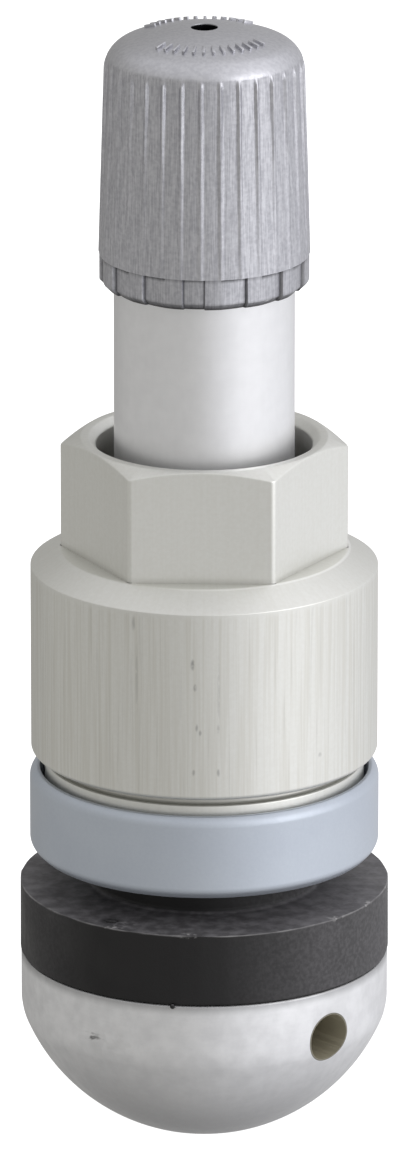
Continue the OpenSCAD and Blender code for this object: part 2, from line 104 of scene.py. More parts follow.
def tone(red: int, green: int, blue: int) -> Colour:
    """Gives the linear colour of a screen colour.

    Args:
        red: Red part from 0 to 255.
        green: Green part from 0 to 255.
        blue: Blue part from 0 to 255.

    Returns:
        Linear red, green, blue and a full alpha.
    """
    parts = [value / 255 for value in (red, green, blue)]
    linear = [part / 12.92 if part <= 0.04045 else ((part + 0.055) / 1.055) ** 2.4 for part in parts]
    return (*linear, 1.0)


def in_mm(x: float, y: float, z: float) -> Point:
    """Gives a place or a size in metres from millimetres."""
    return x * MM, y * MM, z * MM


class Row(Enum):
    """Rows of a half section that are shaped or shaded after it is turned."""

    HEX_FOOT = "hex foot"
    HEX_WALL = "hex wall"
    HEX_TOP = "hex top"
    SKIRT_FOOT = "skirt foot"
    SKIRT_EDGE = "skirt edge"
    SKIRT = "skirt"
    SKIRT_TOP = "skirt top"
    BODY = "body"
    GATE = "gate"
    GROOVE = "groove"


@dataclass(frozen=True)
class Corner:
    """One corner of a half section, with the reach of its rounding along both sides."""

    x: float
    z: float
    soft: float = 0.0
    row: Row | None = None


def arc(centre_x: float, centre_z: float, radius: float, start: float, end: float, steps: int,
        row: Row | None = None) -> list[Corner]:
    """Lists the corners along a round stretch of a half section.

    Args:
        centre_x: Distance of the centre from the axis.
        centre_z: Height of the centre.
        radius: Radius of the stretch.
        start: First angle from the horizontal, in radians.
        end: Last angle, in radians.
        steps: Number of chords.
        row: Row that the corners belong to.

    Returns:
        The corners from start to end, both included.
    """
    angles = [start + (end - start) * i / steps for i in range(steps + 1)]
    return [Corner(centre_x + radius * math.cos(angle), centre_z + radius * math.sin(angle), row=row)
            for angle in angles]


def turn_section(corners: Sequence[Corner], columns: int, closed: bool = True) -> bmesh.types.BMesh:
    """Turns a half section into a solid.

    Args:
        corners: Corners of the half section in order.
        columns: Number of steps round the axis.
        closed: Whether the last corner joins the first; otherwise both lie on the axis.

    Returns:
        A closed mesh whose int layer "row" names the corner that each vertex comes from.
    """
    bm = bmesh.new()
    row = bm.verts.layers.int.new(ROW)
    chain = [bm.verts.new((corner.x, 0, corner.z)) for corner in corners]
    for index, vert in enumerate(chain):
        vert[row] = index
    ends = chain[1:] + chain[:1] if closed else chain[1:]
    for start, end in zip(chain, ends):
        bm.edges.new((start, end))
    for soft in sorted({corner.soft for corner in corners if corner.soft}):
        rows = {index for index, corner in enumerate(corners) if corner.soft == soft}
        steps = WIDE_STEPS if soft > WIDE_SOFT else SOFT_STEPS
        bends = [vert for vert in bm.verts if vert[row] in rows]
        bmesh.ops.bevel(bm, geom=bends, offset=soft, offset_type="OFFSET", segments=steps, profile=0.5,
                        affect="VERTICES", material=-1)
    bmesh.ops.spin(bm, geom=bm.verts[:] + bm.edges[:], cent=(0, 0, 0), axis=(0, 0, 1), angle=FULL_TURN,
                   steps=columns, use_merge=True)
    bmesh.ops.remove_doubles(bm, verts=bm.verts[:], dist=MERGE_DISTANCE)
    bmesh.ops.recalc_face_normals(bm, faces=bm.faces[:])
    return bm


def angle_of(vert: bmesh.types.BMVert) -> float:
    """Gives the angle of a vertex about the axis."""
    return math.atan2(vert.co.y, vert.co.x)


def turn_about(bm: bmesh.types.BMesh, turn: float) -> None:
    """Turns a whole mesh about the axis."""
    bmesh.ops.rotate(bm, verts=bm.verts[:], cent=(0, 0, 0), matrix=Matrix.Rotation(turn, 3, "Z"))


def soften(bm: bmesh.types.BMesh, edges: list[bmesh.types.BMEdge], reach: float,
           clamp: bool = False) -> None:
    """Breaks edges in two steps, by a reach that can give way where edges lie close."""
    bmesh.ops.bevel(bm, geom=edges, offset=reach, offset_type="OFFSET", segments=2, profile=0.5,
                    affect="EDGES", material=-1, clamp_overlap=clamp)


def to_piece(bm: bmesh.types.BMesh, name: str, body: Body, slot: Slot, material: bpy.types.Material,
             node: str = "") -> bpy.types.Object:
    """Makes a piece of the scene from a finished mesh.

    Args:
        bm: The mesh, which is freed.
        name: Name of the piece.
        body: Body that it rides on.
        slot: Material slot of the record; not used.
        material: Its finish.
        node: Node of the frame that it stands for, if any.

    Returns:
        The new object.
    """
    mesh = bpy.data.meshes.new(name)
    bm.to_mesh(mesh)
    bm.free()
    mesh.shade_smooth()
    mesh.set_sharp_from_angle(angle=SHARP_ANGLE)
    mesh.materials.append(material)
    piece = bpy.data.objects.new(name, mesh)
    bpy.context.scene.collection.objects.link(piece)
    weighted = piece.modifiers.new("even_normals", "WEIGHTED_NORMAL")
    weighted.keep_sharp = True
    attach(piece, body.value)
    if node:
        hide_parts(node)
    log.info("built %s on %s: %d faces", name, body.value, len(mesh.polygons))
    return piece


class NodeBench:
    """Adds the nodes of one tree and wires them."""

    def __init__(self, tree: bpy.types.NodeTree) -> None:
        """Keeps the tree."""
        self.tree = tree

    def feed(self, socket: Socket, value: object) -> None:
        """Links an output to a socket, or sets a plain value on it.

        Args:
            socket: The socket.
            value: Output or plain value.
        """
        if isinstance(value, bpy.types.NodeSocket):
            self.tree.links.new(value, socket)
        else:
            socket.default_value = value

    def add(self, kind: str, inputs: dict[str, object] | None = None, **settings: object) -> bpy.types.Node:
        """Adds a node.

        Args:
            kind: Node type without its common prefix.
            inputs: Values or outputs for named inputs.
            settings: Properties of the node.

        Returns:
            The node.
        """
        node = self.tree.nodes.new("ShaderNode" + kind)
        for key, value in settings.items():
            setattr(node, key, value)
        for key, value in (inputs or {}).items():
            self.feed(node.inputs[key], value)
        return node

    def calc(self, operation: str, *values: object) -> Socket:
        """Adds a calculation on one to three values.

        Args:
            operation: Name of the operation.
            values: Numbers or outputs.

        Returns:
            The result.
        """
        node = self.add("Math", operation=operation)
        for socket, value in zip(node.inputs, values):
            self.feed(socket, value)
        return node.outputs[0]

    def times(self, first: object, *others: object) -> Socket:
        """Multiplies values.

        Args:
            first: Number or output.
            others: Further numbers or outputs.

        Returns:
            The product.
        """
        result = first
        for other in others:
            result = self.calc("MULTIPLY", result, other)
        return result

    def vector(self, operation: str, *values: object) -> Socket:
        """Adds a calculation on vectors.

        Args:
            operation: Name of the operation.
            values: Vectors or outputs.

        Returns:
            The result, a number for a length or a dot product and otherwise a vector.
        """
        node = self.add("VectorMath", operation=operation)
        for socket, value in zip(node.inputs, values):
            self.feed(socket, value)
        return node.outputs["Value" if operation in NUMBER_RESULTS else "Vector"]

    def scaled(self, vector: Socket, factor: Socket) -> Socket:
        """Gives a vector times a number."""
        node = self.add("VectorMath", {"Vector": vector, "Scale": factor}, operation="SCALE")
        return node.outputs["Vector"]

    def place(self) -> Socket:
        """Gives the place on the piece in its own coordinates."""
        return self.add("TexCoord").outputs["Object"]

    def part(self, vector: Socket, axis: str) -> Socket:
        """Gives the part of a vector along X, Y or Z."""
        return self.add("SeparateXYZ", {"Vector": vector}).outputs[axis]

    def ramp(self, value: object, low: object, high: object) -> Socket:
        """Stretches a value so that low becomes 0 and high becomes 1.

        Args:
            value: Number or output.
            low: Value that becomes 0.
            high: Value that becomes 1.

        Returns:
            The result, kept between 0 and 1.
        """
        node = self.add("MapRange", {"Value": value, "From Min": low, "From Max": high},
                        interpolation_type="SMOOTHSTEP")
        return node.outputs[0]

    def noise(self, place: Socket, scale: object, detail: object, low: object, high: object) -> Socket:
        """Adds a noise at a place and stretches it from low and high to 0 and 1."""
        texture = self.add("TexNoise", {"Vector": place, "Scale": scale, "Detail": detail})
        return self.ramp(texture.outputs[0], low, high)

    def blend(self, mask: object, low: object, high: object) -> Socket:
        """Blends two colours.

        Args:
            mask: Share of the second colour.
            low: First colour.
            high: Second colour.

        Returns:
            The blended colour.
        """
        node = self.add("Mix", data_type="RGBA")
        for index, value in zip(MIX_COLOUR_INPUTS, (mask, low, high)):
            self.feed(node.inputs[index], value)
        return node.outputs[MIX_COLOUR_OUTPUT]


class Effects:
    """Surface effects that several finishes share, each built once as a node group with one mask."""

    def __init__(self) -> None:
        """Starts with no group built."""
        self.trees: dict[str, bpy.types.NodeTree] = {}

    def mask(self, bench: NodeBench, maker: Maker, **values: object) -> Socket:
        """Places an effect in a material.

        Args:
            bench: Bench of the material.
            maker: Method that builds the effect.
            values: Values for the inputs of the effect, by name.

        Returns:
            The mask of the effect.
        """
        key = maker.__name__
        if key not in self.trees:
            self.trees[key] = maker()
        node = bench.add("Group", node_tree=self.trees[key])
        for name, value in values.items():
            node.inputs[name].default_value = value
        return node.outputs["Mask"]

    @staticmethod
    def start(name: str, **defaults: float | Point) -> tuple[NodeBench, dict[str, Socket], Socket]:
        """Starts a group.

        Args:
            name: Name of the group.
            defaults: Default of each input, a number or a vector.

        Returns:
            The bench of the group, its inputs by name and the socket that takes the mask.
        """
        tree = bpy.data.node_groups.new(name, "ShaderNodeTree")
        for label, default in defaults.items():
            kind = "NodeSocketVector" if isinstance(default, tuple) else "NodeSocketFloat"
            tree.interface.new_socket(label, in_out="INPUT", socket_type=kind).default_value = default
        tree.interface.new_socket("Mask", in_out="OUTPUT", socket_type="NodeSocketFloat")
        source = tree.nodes.new("NodeGroupInput")
        sink = tree.nodes.new("NodeGroupOutput")
        return NodeBench(tree), {s.name: s for s in source.outputs if s.name}, sink.inputs["Mask"]

    def grain(self) -> bpy.types.NodeTree:
        """Builds an even grain.

        Returns:
            The group.
        """
        bench, given, result = self.start("grain", scale=1000.0, detail=3.0, low=0.3, high=0.7)
        grain = bench.noise(bench.place(), given["scale"], given["detail"], given["low"], given["high"])
        bench.feed(result, grain)
        return bench.tree

    def streaks(self) -> bpy.types.NodeTree:
        """Builds streaks along the axis, or rings round it where the scale along the axis is larger.

        Returns:
            The group.
        """
        bench, given, result = self.start("streaks", across=70.0, along=100.0, detail=3.0,
                                          low=0.35, high=0.65)
        place = bench.place()
        spoke = bench.vector("NORMALIZE", bench.vector("MULTIPLY", place, FLAT))
        lift = bench.add("CombineXYZ", {"Z": bench.times(bench.part(place, "Z"), given["along"])}).outputs[0]
        spot = bench.vector("ADD", bench.scaled(spoke, given["across"]), lift)
        bench.feed(result, bench.noise(spot, 1.0, given["detail"], given["low"], given["high"]))
        return bench.tree

    def edge_wear_and_highlight(self) -> bpy.types.NodeTree:
        """Builds a broken band along a round edge, used both for wear and for a painted highlight.

        Returns:
            The group.
        """
        bench, given, result = self.start("edge_wear_and_highlight", radius=8 * MM, height=10 * MM, width=0.1 * MM,
                                          scale=900.0, low=0.4, high=0.6)
        place = bench.place()
        away = bench.vector("LENGTH", bench.vector("MULTIPLY", place, FLAT))
        off = bench.add("CombineXYZ", {
            "X": bench.calc("SUBTRACT", away, given["radius"]),
            "Y": bench.calc("SUBTRACT", bench.part(place, "Z"), given["height"]),
        }).outputs[0]
        near = bench.ramp(bench.vector("LENGTH", off), given["width"], 0.0)
        broken = bench.noise(place, given["scale"], 3.0, given["low"], given["high"])
        bench.feed(result, bench.times(near, broken))
        return bench.tree

    def patch(self) -> bpy.types.NodeTree:
        """Builds a broken patch round one place, with its own grain along each axis.

        Returns:
            The group.
        """
        bench, given, result = self.start("patch", centre=(0.0, 0.0, 0.0), size=(MM, MM, MM),
                                          grain=(2000.0, 2000.0, 2000.0), low=0.45, high=0.6)
        place = bench.place()
        off = bench.vector("DIVIDE", bench.vector("SUBTRACT", place, given["centre"]), given["size"])
        near = bench.ramp(bench.vector("LENGTH", off), 1.0, 0.2)
        spot = bench.vector("MULTIPLY", place, given["grain"])
        bench.feed(result, bench.times(near, bench.noise(spot, 1.0, 2.0, given["low"], given["high"])))
        return bench.tree

    def drilling(self) -> bpy.types.NodeTree:
        """Builds a mask for the wall of a drilled hole, given a point and the direction of its axis.

        Returns:
            The group.
        """
        bench, given, result = self.start("drilling", point=(0.0, 0.0, 0.0), axis=(1.0, 0.0, 0.0),
                                          radius=MM, fade=0.1 * MM)
        off = bench.vector("SUBTRACT", bench.place(), given["point"])
        foot = bench.scaled(given["axis"], bench.vector("DOT_PRODUCT", off, given["axis"]))
        away = bench.vector("LENGTH", bench.vector("SUBTRACT", off, foot))
        bench.feed(result, bench.ramp(bench.calc("SUBTRACT", away, given["radius"]), given["fade"], 0.0))
        return bench.tree


class Surface:
    """One material with its shader, filled in layer by layer."""

    def __init__(self, name: str, effects: Effects) -> None:
        """Starts a material.

        Args:
            name: Name of the material.
            effects: Shared effects.
        """
        self.material = bpy.data.materials.new(name)
        self.material.use_nodes = True
        self.bench = NodeBench(self.material.node_tree)
        self.shader = self.material.node_tree.nodes["Principled BSDF"]
        self.effects = effects

    def effect(self, maker: Maker, **values: object) -> Socket:
        """Places a shared effect and returns its mask."""
        return self.effects.mask(self.bench, maker, **values)

    def set(self, **values: object) -> None:
        """Sets or links inputs of the shader, with _ for a blank in a name."""
        for name, value in values.items():
            self.bench.feed(self.shader.inputs[name.replace("_", " ")], value)

    def relief(self, height: Socket, depth: float, strength: float) -> None:
        """Lets a mask raise the surface by a depth in metres, of which a share shows."""
        bump = self.bench.add("Bump", {"Height": height, "Distance": depth, "Strength": strength})
        self.bench.feed(self.shader.inputs["Normal"], bump.outputs["Normal"])

    def spread(self, mask: Socket, low: float, high: float) -> Socket:
        """Gives a value that runs from low to high with a mask."""
        return self.bench.calc("MULTIPLY_ADD", mask, high - low, low)

    def recess(self) -> Socket:
        """Gives the share of painted shade that the surface gets in a recess."""
        return self.bench.add("Attribute", attribute_name=RECESS).outputs["Fac"]

    def facing_up(self) -> Socket:
        """Gives the share of the surface's direction that points up."""
        return self.bench.part(self.bench.add("NewGeometry").outputs["Normal"], "Z")


@dataclass(frozen=True)
class Mark:
    """A broken mark on a surface: where it lies, how far it reaches, its grain, colour and strength."""

    centre: Point
    size: Point
    grain: Point
    colour: Colour
    strength: float
    low: float = 0.5
    high: float = 0.62

    def paint(self, surface: Surface, colour: object) -> Socket:
        """Lays the mark over a colour.

        Args:
            surface: Surface that the mark is on.
            colour: Colour under the mark.

        Returns:
            The colour with the mark.
        """
        mask = surface.effect(surface.effects.patch, centre=self.centre, size=self.size, grain=self.grain,
                              low=self.low, high=self.high)
        return surface.bench.blend(surface.bench.times(mask, self.strength), colour, self.colour)


@dataclass(frozen=True)
class DrilledWall:
    """Oily wall of a drilled hole, with painted shade round its rim."""

    point: Point
    axis: Point
    radius: float
    colour: Colour
    # Colour of the painted shade round the rim
    rim: Colour
    rim_width: float = 0.06 * MM
    fade: float = 0.03 * MM

    def mask(self, surface: Surface, wider: float = 0.0) -> Socket:
        """Gives the share of the stain, up to a distance outside the wall."""
        return surface.effect(surface.effects.drilling, point=self.point, axis=self.axis,
                              radius=self.radius + wider, fade=self.fade)


@dataclass(frozen=True)
class Finish:
    """A finish with a main colour, which lays its own layers on a new material."""

    name: str
    colour: Colour

    def build(self, effects: Effects) -> bpy.types.Material:
        """Builds the material.

        Args:
            effects: Shared effects.

        Returns:
            The material.
        """
        surface = Surface(self.name, effects)
        self.lay(surface)
        return surface.material

    def lay(self, surface: Surface) -> None:
        """Lays the layers of the finish on a surface."""
        raise NotImplementedError


@dataclass(frozen=True)
class TurnedMetal(Finish):
    """Bare turned metal: a cloudy mottle, soft smears, faint rings from the tool and an uneven sheen."""

    shade: Colour
    metallic: float = 0.8
    gloss: Span = (0.36, 0.5)
    cloud_scale: float = 1300.0
    smear_share: float = 0.2
    ring_share: float = 0.06
    ring_scale: float = 9000.0
    ring_depth: float = 0.0015 * MM
    marks: tuple[Mark, ...] = ()
    hole: DrilledWall | None = None
    # Height band below a contact, darkened towards its top as a painted shadow
    contact: Span | None = None
    contact_share: float = 0.5
    plain_share: float = 0.35
    # Colour of the painted shadow below a contact
    painted_shadow: Colour = (0.12, 0.12, 0.12, 1.0)

    def lay(self, surface: Surface) -> None:
        """Lays the mottle, the painted shadow below a contact, the marks and the wall of a hole.

        Args:
            surface: Surface of the new material.
        """
        bench, effects = surface.bench, surface.effects
        cloud = surface.effect(effects.grain, scale=self.cloud_scale, detail=8.0, low=0.22, high=0.78)
        smear = surface.effect(effects.streaks, across=12.0, along=620.0, detail=4.0)
        rings = surface.effect(effects.streaks, across=7.0, along=self.ring_scale, detail=3.0)
        cloud_share = 1 - self.smear_share - self.ring_share
        soft = bench.calc("MULTIPLY_ADD", smear, self.smear_share, bench.times(cloud, cloud_share))
        uneven = bench.calc("MULTIPLY_ADD", rings, self.ring_share, soft)
        near: Socket | None = None
        # Painted shadow below the contact, with a weaker mottle above the band
        if self.contact:
            height = bench.part(bench.place(), "Z")
            low, high = self.contact
            below = bench.calc("LESS_THAN", height, high)
            near = bench.times(bench.ramp(height, low, high), below, self.contact_share)
            uneven = bench.times(uneven, surface.spread(below, self.plain_share, 1.0))
        colour = bench.blend(uneven, self.colour, self.shade)
        for mark in self.marks:
            colour = mark.paint(surface, colour)
        if near is not None:
            colour = bench.blend(near, colour, self.painted_shadow)
        metallic: object = self.metallic
        if self.hole:
            # The wall takes its oily colour, and a band round its rim takes painted shade
            wall, rim = self.hole.mask(surface), self.hole.mask(surface, self.hole.rim_width)
            colour = bench.blend(wall, bench.blend(rim, colour, self.hole.rim), self.hole.colour)
            metallic = surface.spread(rim, self.metallic, 0.0)
        surface.set(Base_Color=colour, Metallic=metallic, Roughness=surface.spread(uneven, *self.gloss))
        surface.relief(rings, self.ring_depth, strength=0.3)


@dataclass(frozen=True)
class DrawnMetal(Finish):
    """Drawn anodised bar: collar streaks, dark lines, flecks, painted shade and a painted highlight."""

    shade: Colour
    # Colour of the dark lines, also taken by the painted shade
    dark: Colour
    collar: Span
    plain_share: float = 0.2
    line_share: float = 0.13
    grain_share: float = 0.3
    # Share of painted shade where the vertices carry it
    groove_share: float = 0.45
    # Colour, edge, width and sideways reach of the painted highlight
    painted_highlight: Colour = (1.0, 1.0, 0.98, 1.0)
    painted_highlight_edge: Span | None = None
    painted_highlight_width: float = 0.13 * MM
    painted_highlight_reach: Span = (-3.2 * MM, 0.8 * MM)
    fade: float = 0.35 * MM
    metallic: float = 0.95
    gloss: Span = (0.45, 0.5)
    relief_depth: float = 0.004 * MM
    marks: tuple[Mark, ...] = ()

    def lay(self, surface: Surface) -> None:
        """Lays streaks, grain, dark lines, painted shade in grooves, the painted highlight and the flecks.

        Args:
            surface: Surface of the new material.
        """
        bench, effects = surface.bench, surface.effects
        fine = surface.effect(effects.streaks, across=46.0, along=130.0, detail=4.0, low=0.36, high=0.68)
        lines = surface.effect(effects.streaks, across=66.0, along=150.0, detail=3.0, low=0.58, high=0.72)
        grain = surface.effect(effects.grain, scale=5200.0, detail=3.0)
        place = bench.place()
        height = bench.part(place, "Z")
        low, high = self.collar
        on_collar = bench.times(bench.ramp(height, low, low + self.fade),
                                bench.ramp(height, high, high - self.fade))
        streaks = bench.times(fine, surface.spread(on_collar, self.plain_share, 1.0))
        colour = bench.blend(streaks, self.colour, self.shade)
        colour = bench.blend(bench.times(grain, self.grain_share), colour, self.shade)
        line = bench.times(lines, on_collar, self.line_share)
        # Painted shade in the groove, the counterbore and the hex foot, in the colour of the dark lines
        groove = bench.times(surface.recess(), self.groove_share)
        colour = bench.blend(bench.calc("MAXIMUM", line, groove), colour, self.dark)
        # Painted highlight along the foot edge of the hexagon, towards the right-hand side only
        if self.painted_highlight_edge:
            rim = surface.effect(effects.edge_wear_and_highlight, radius=self.painted_highlight_edge[0], height=self.painted_highlight_edge[1],
                                 width=self.painted_highlight_width, low=0.2, high=0.4)
            lit = bench.ramp(bench.part(place, "X"), *self.painted_highlight_reach)
            colour = bench.blend(bench.times(rim, lit), colour, self.painted_highlight)
        for mark in self.marks:
            colour = mark.paint(surface, colour)
        surface.set(Base_Color=colour, Metallic=self.metallic,
                    Roughness=surface.spread(streaks, *self.gloss))
        surface.relief(bench.calc("MULTIPLY_ADD", grain, 0.5, streaks), self.relief_depth, strength=0.3)


@dataclass(frozen=True)
class MouldedPlastic(Finish):
    """Smooth moulded plastic with a pearly filler, a faint cloud in its colour and a fine clear skin."""

    shade: Colour
    metallic: float = 0.78
    gloss: Span = (0.46, 0.54)
    coat: float = 0.3
    coat_roughness: float = 0.3
    cloud_scale: float = 260.0
    skin_scale: float = 7000.0
    skin_share: float = 0.3
    skin_depth: float = 0.003 * MM

    def lay(self, surface: Surface) -> None:
        """Lays the cloud and the skin.

        Args:
            surface: Surface of the new material.
        """
        bench, effects = surface.bench, surface.effects
        skin = surface.effect(effects.grain, scale=self.skin_scale)
        cloud = surface.effect(effects.grain, scale=self.cloud_scale)
        mask = bench.calc("MULTIPLY_ADD", skin, self.skin_share, bench.times(cloud, 1 - self.skin_share))
        surface.set(Base_Color=bench.blend(mask, self.colour, self.shade), Metallic=self.metallic,
                    Roughness=surface.spread(mask, *self.gloss), Coat_Weight=self.coat,
                    Coat_Roughness=self.coat_roughness)
        surface.relief(skin, self.skin_depth, strength=0.4)


@dataclass(frozen=True)
class SilverPlastic(Finish):
    """Plastic with a metallic filler: fine upright grain, speckle, and painted shade in its recesses."""

    shade: Colour
    # Colour of the painted shade in the recesses
    painted_shade: Colour
    metallic: float = 1.0
    gloss: Span = (0.36, 0.5)
    grain_share: float = 0.6
    dome_share: float = 0.35
    upright_range: Span = (0.55, 0.15)
    skin_depth: float = 0.01 * MM
    marks: tuple[Mark, ...] = ()

    def lay(self, surface: Surface) -> None:
        """Lays the grain on the walls, the speckle on the dome, the painted shade and the marks.

        Args:
            surface: Surface of the new material.
        """
        bench, effects = surface.bench, surface.effects
        drawn = surface.effect(effects.streaks, across=70.0, along=800.0, detail=3.0, low=0.32, high=0.68)
        speckle = surface.effect(effects.grain, scale=5200.0, detail=2.0)
        upright = bench.ramp(surface.facing_up(), *self.upright_range)
        fine = bench.times(speckle, 1 - self.grain_share)
        walls = bench.calc("MULTIPLY_ADD", drawn, self.grain_share, fine)
        dome = bench.times(speckle, surface.spread(upright, self.dome_share, 0.0))
        mask = bench.calc("ADD", bench.times(walls, upright), dome)
        # Painted shade in the recesses, by the share that each vertex carries
        colour = bench.blend(surface.recess(), bench.blend(mask, self.colour, self.shade), self.painted_shade)
        for mark in self.marks:
            colour = mark.paint(surface, colour)
        surface.set(Base_Color=colour, Metallic=self.metallic, Roughness=surface.spread(mask, *self.gloss))
        surface.relief(mask, self.skin_depth, strength=0.4)


@dataclass(frozen=True)
class WornRubber(Finish):
    """Black rubber: dust on top, painted light on both sides broken by a mottle, and a thin worn edge."""

    # Colour of the dust on top, and of the painted light on the sides
    dust_and_painted_light: Colour
    worn: Colour
    edge: Span
    edge_width: float = 0.1 * MM
    edge_share: float = 1.0
    upper_range: Span = (0.4, 0.95)
    scuff_range: Span = (0.45, 1.1)
    top_share: float = 0.75
    # Share and reach of the painted light on the right side, then on the left side
    painted_side_share: float = 0.47
    painted_right_reach: Span = (-0.2 * MM, 7.0 * MM)
    painted_left_share: float = 0.5
    painted_left_reach: Span = (-5.0 * MM, -9.0 * MM)
    mottle_range: Span = (0.35, 0.8)
    mottle_cloud: float = 0.6
    sheen: float = 0.36
    gloss: Span = (0.45, 0.68)
    skin_depth: float = 0.012 * MM
    marks: tuple[Mark, ...] = ()

    def lay(self, surface: Surface) -> None:
        """Lays the painted light on the sides, the dust on top, the worn edge and the marks.

        Args:
            surface: Surface of the new material.
        """
        bench, effects = surface.bench, surface.effects
        cloud = surface.effect(effects.grain, scale=380.0, detail=5.0, low=0.32, high=0.68)
        scuff = surface.effect(effects.grain, scale=1500.0, detail=8.0, low=0.34, high=0.72)
        grain = surface.effect(effects.grain, scale=5200.0, detail=5.0, low=0.3, high=0.75)
        rim = surface.effect(effects.edge_wear_and_highlight, radius=self.edge[0], height=self.edge[1],
                             width=self.edge_width, scale=520.0, low=0.3, high=0.7)
        upper = bench.times(bench.ramp(surface.facing_up(), *self.upper_range),
                            surface.spread(scuff, *self.scuff_range))
        mottle = surface.spread(bench.calc("ADD", grain, bench.times(cloud, self.mottle_cloud)),
                                *self.mottle_range)
        # Painted light: lighter towards the right side and, less, towards the left, broken by a mottle
        across = bench.part(bench.place(), "X")
        right, left = bench.ramp(across, *self.painted_right_reach), bench.ramp(across, *self.painted_left_reach)
        side = bench.times(bench.calc("MULTIPLY_ADD", left, self.painted_left_share, right), mottle)
        colour = bench.blend(bench.times(side, self.painted_side_share), self.colour, self.dust_and_painted_light)
        colour = bench.blend(bench.times(upper, self.top_share), colour, self.dust_and_painted_light)
        colour = bench.blend(bench.times(rim, self.edge_share), colour, self.worn)
        for mark in self.marks:
            colour = mark.paint(surface, colour)
        surface.set(Base_Color=colour, Specular_IOR_Level=self.sheen,
                    Roughness=surface.spread(cloud, *self.gloss))
        surface.relief(bench.calc("ADD", grain, scuff), self.skin_depth, strength=0.3)


@dataclass(frozen=True)
class ScrewThread:
    """A right-hand screw thread as one helical ridge."""

    root: float
    crest: float
    pitch: float
    low: float
    high: float
    crest_width: float = 0.12 * MM
    sunk: float = 0.05 * MM
    steps_per_turn: int = 64
    start: float = 0.0
    flank_angle: float = math.radians(30)
    end_share: float = 0.1

    def build(self) -> bmesh.types.BMesh:
        """Builds the ridge.

        Returns:
            A closed mesh that starts at the low end and fades out at both ends.
        """
        flank = abs(self.crest - self.root) * math.tan(self.flank_angle)
        outward = math.copysign(1, self.crest - self.root)
        foot = self.root - outward * self.sunk
        half_top, half_foot = self.crest_width / 2, self.crest_width / 2 + flank
        bm = bmesh.new()
        outline = ((foot, -half_foot), (self.crest, -half_top), (self.crest, half_top), (foot, half_foot))
        face = bm.faces.new([bm.verts.new((x, 0, self.low + half_foot + z)) for x, z in outline])
        turns = (self.high - self.low - 2 * half_foot) / self.pitch
        steps = round(turns * self.steps_per_turn)
        bmesh.ops.spin(bm, geom=[face], cent=(0, 0, 0), axis=(0, 0, 1), angle=turns * FULL_TURN,
                       steps=steps, dvec=(0, 0, turns * self.pitch / steps))
        bmesh.ops.remove_doubles(bm, verts=bm.verts[:], dist=MERGE_DISTANCE)
        fade = self.pitch / 2
        for vert in bm.verts:
            radius = vert.co.xy.length
            ease = min(1.0, (vert.co.z - self.low) / fade, (self.high - vert.co.z) / fade)
            vert.co.xy *= (foot + (radius - foot) * max(self.end_share, ease)) / radius
        turn_about(bm, self.start)
        bmesh.ops.recalc_face_normals(bm, faces=bm.faces[:])
        return bm


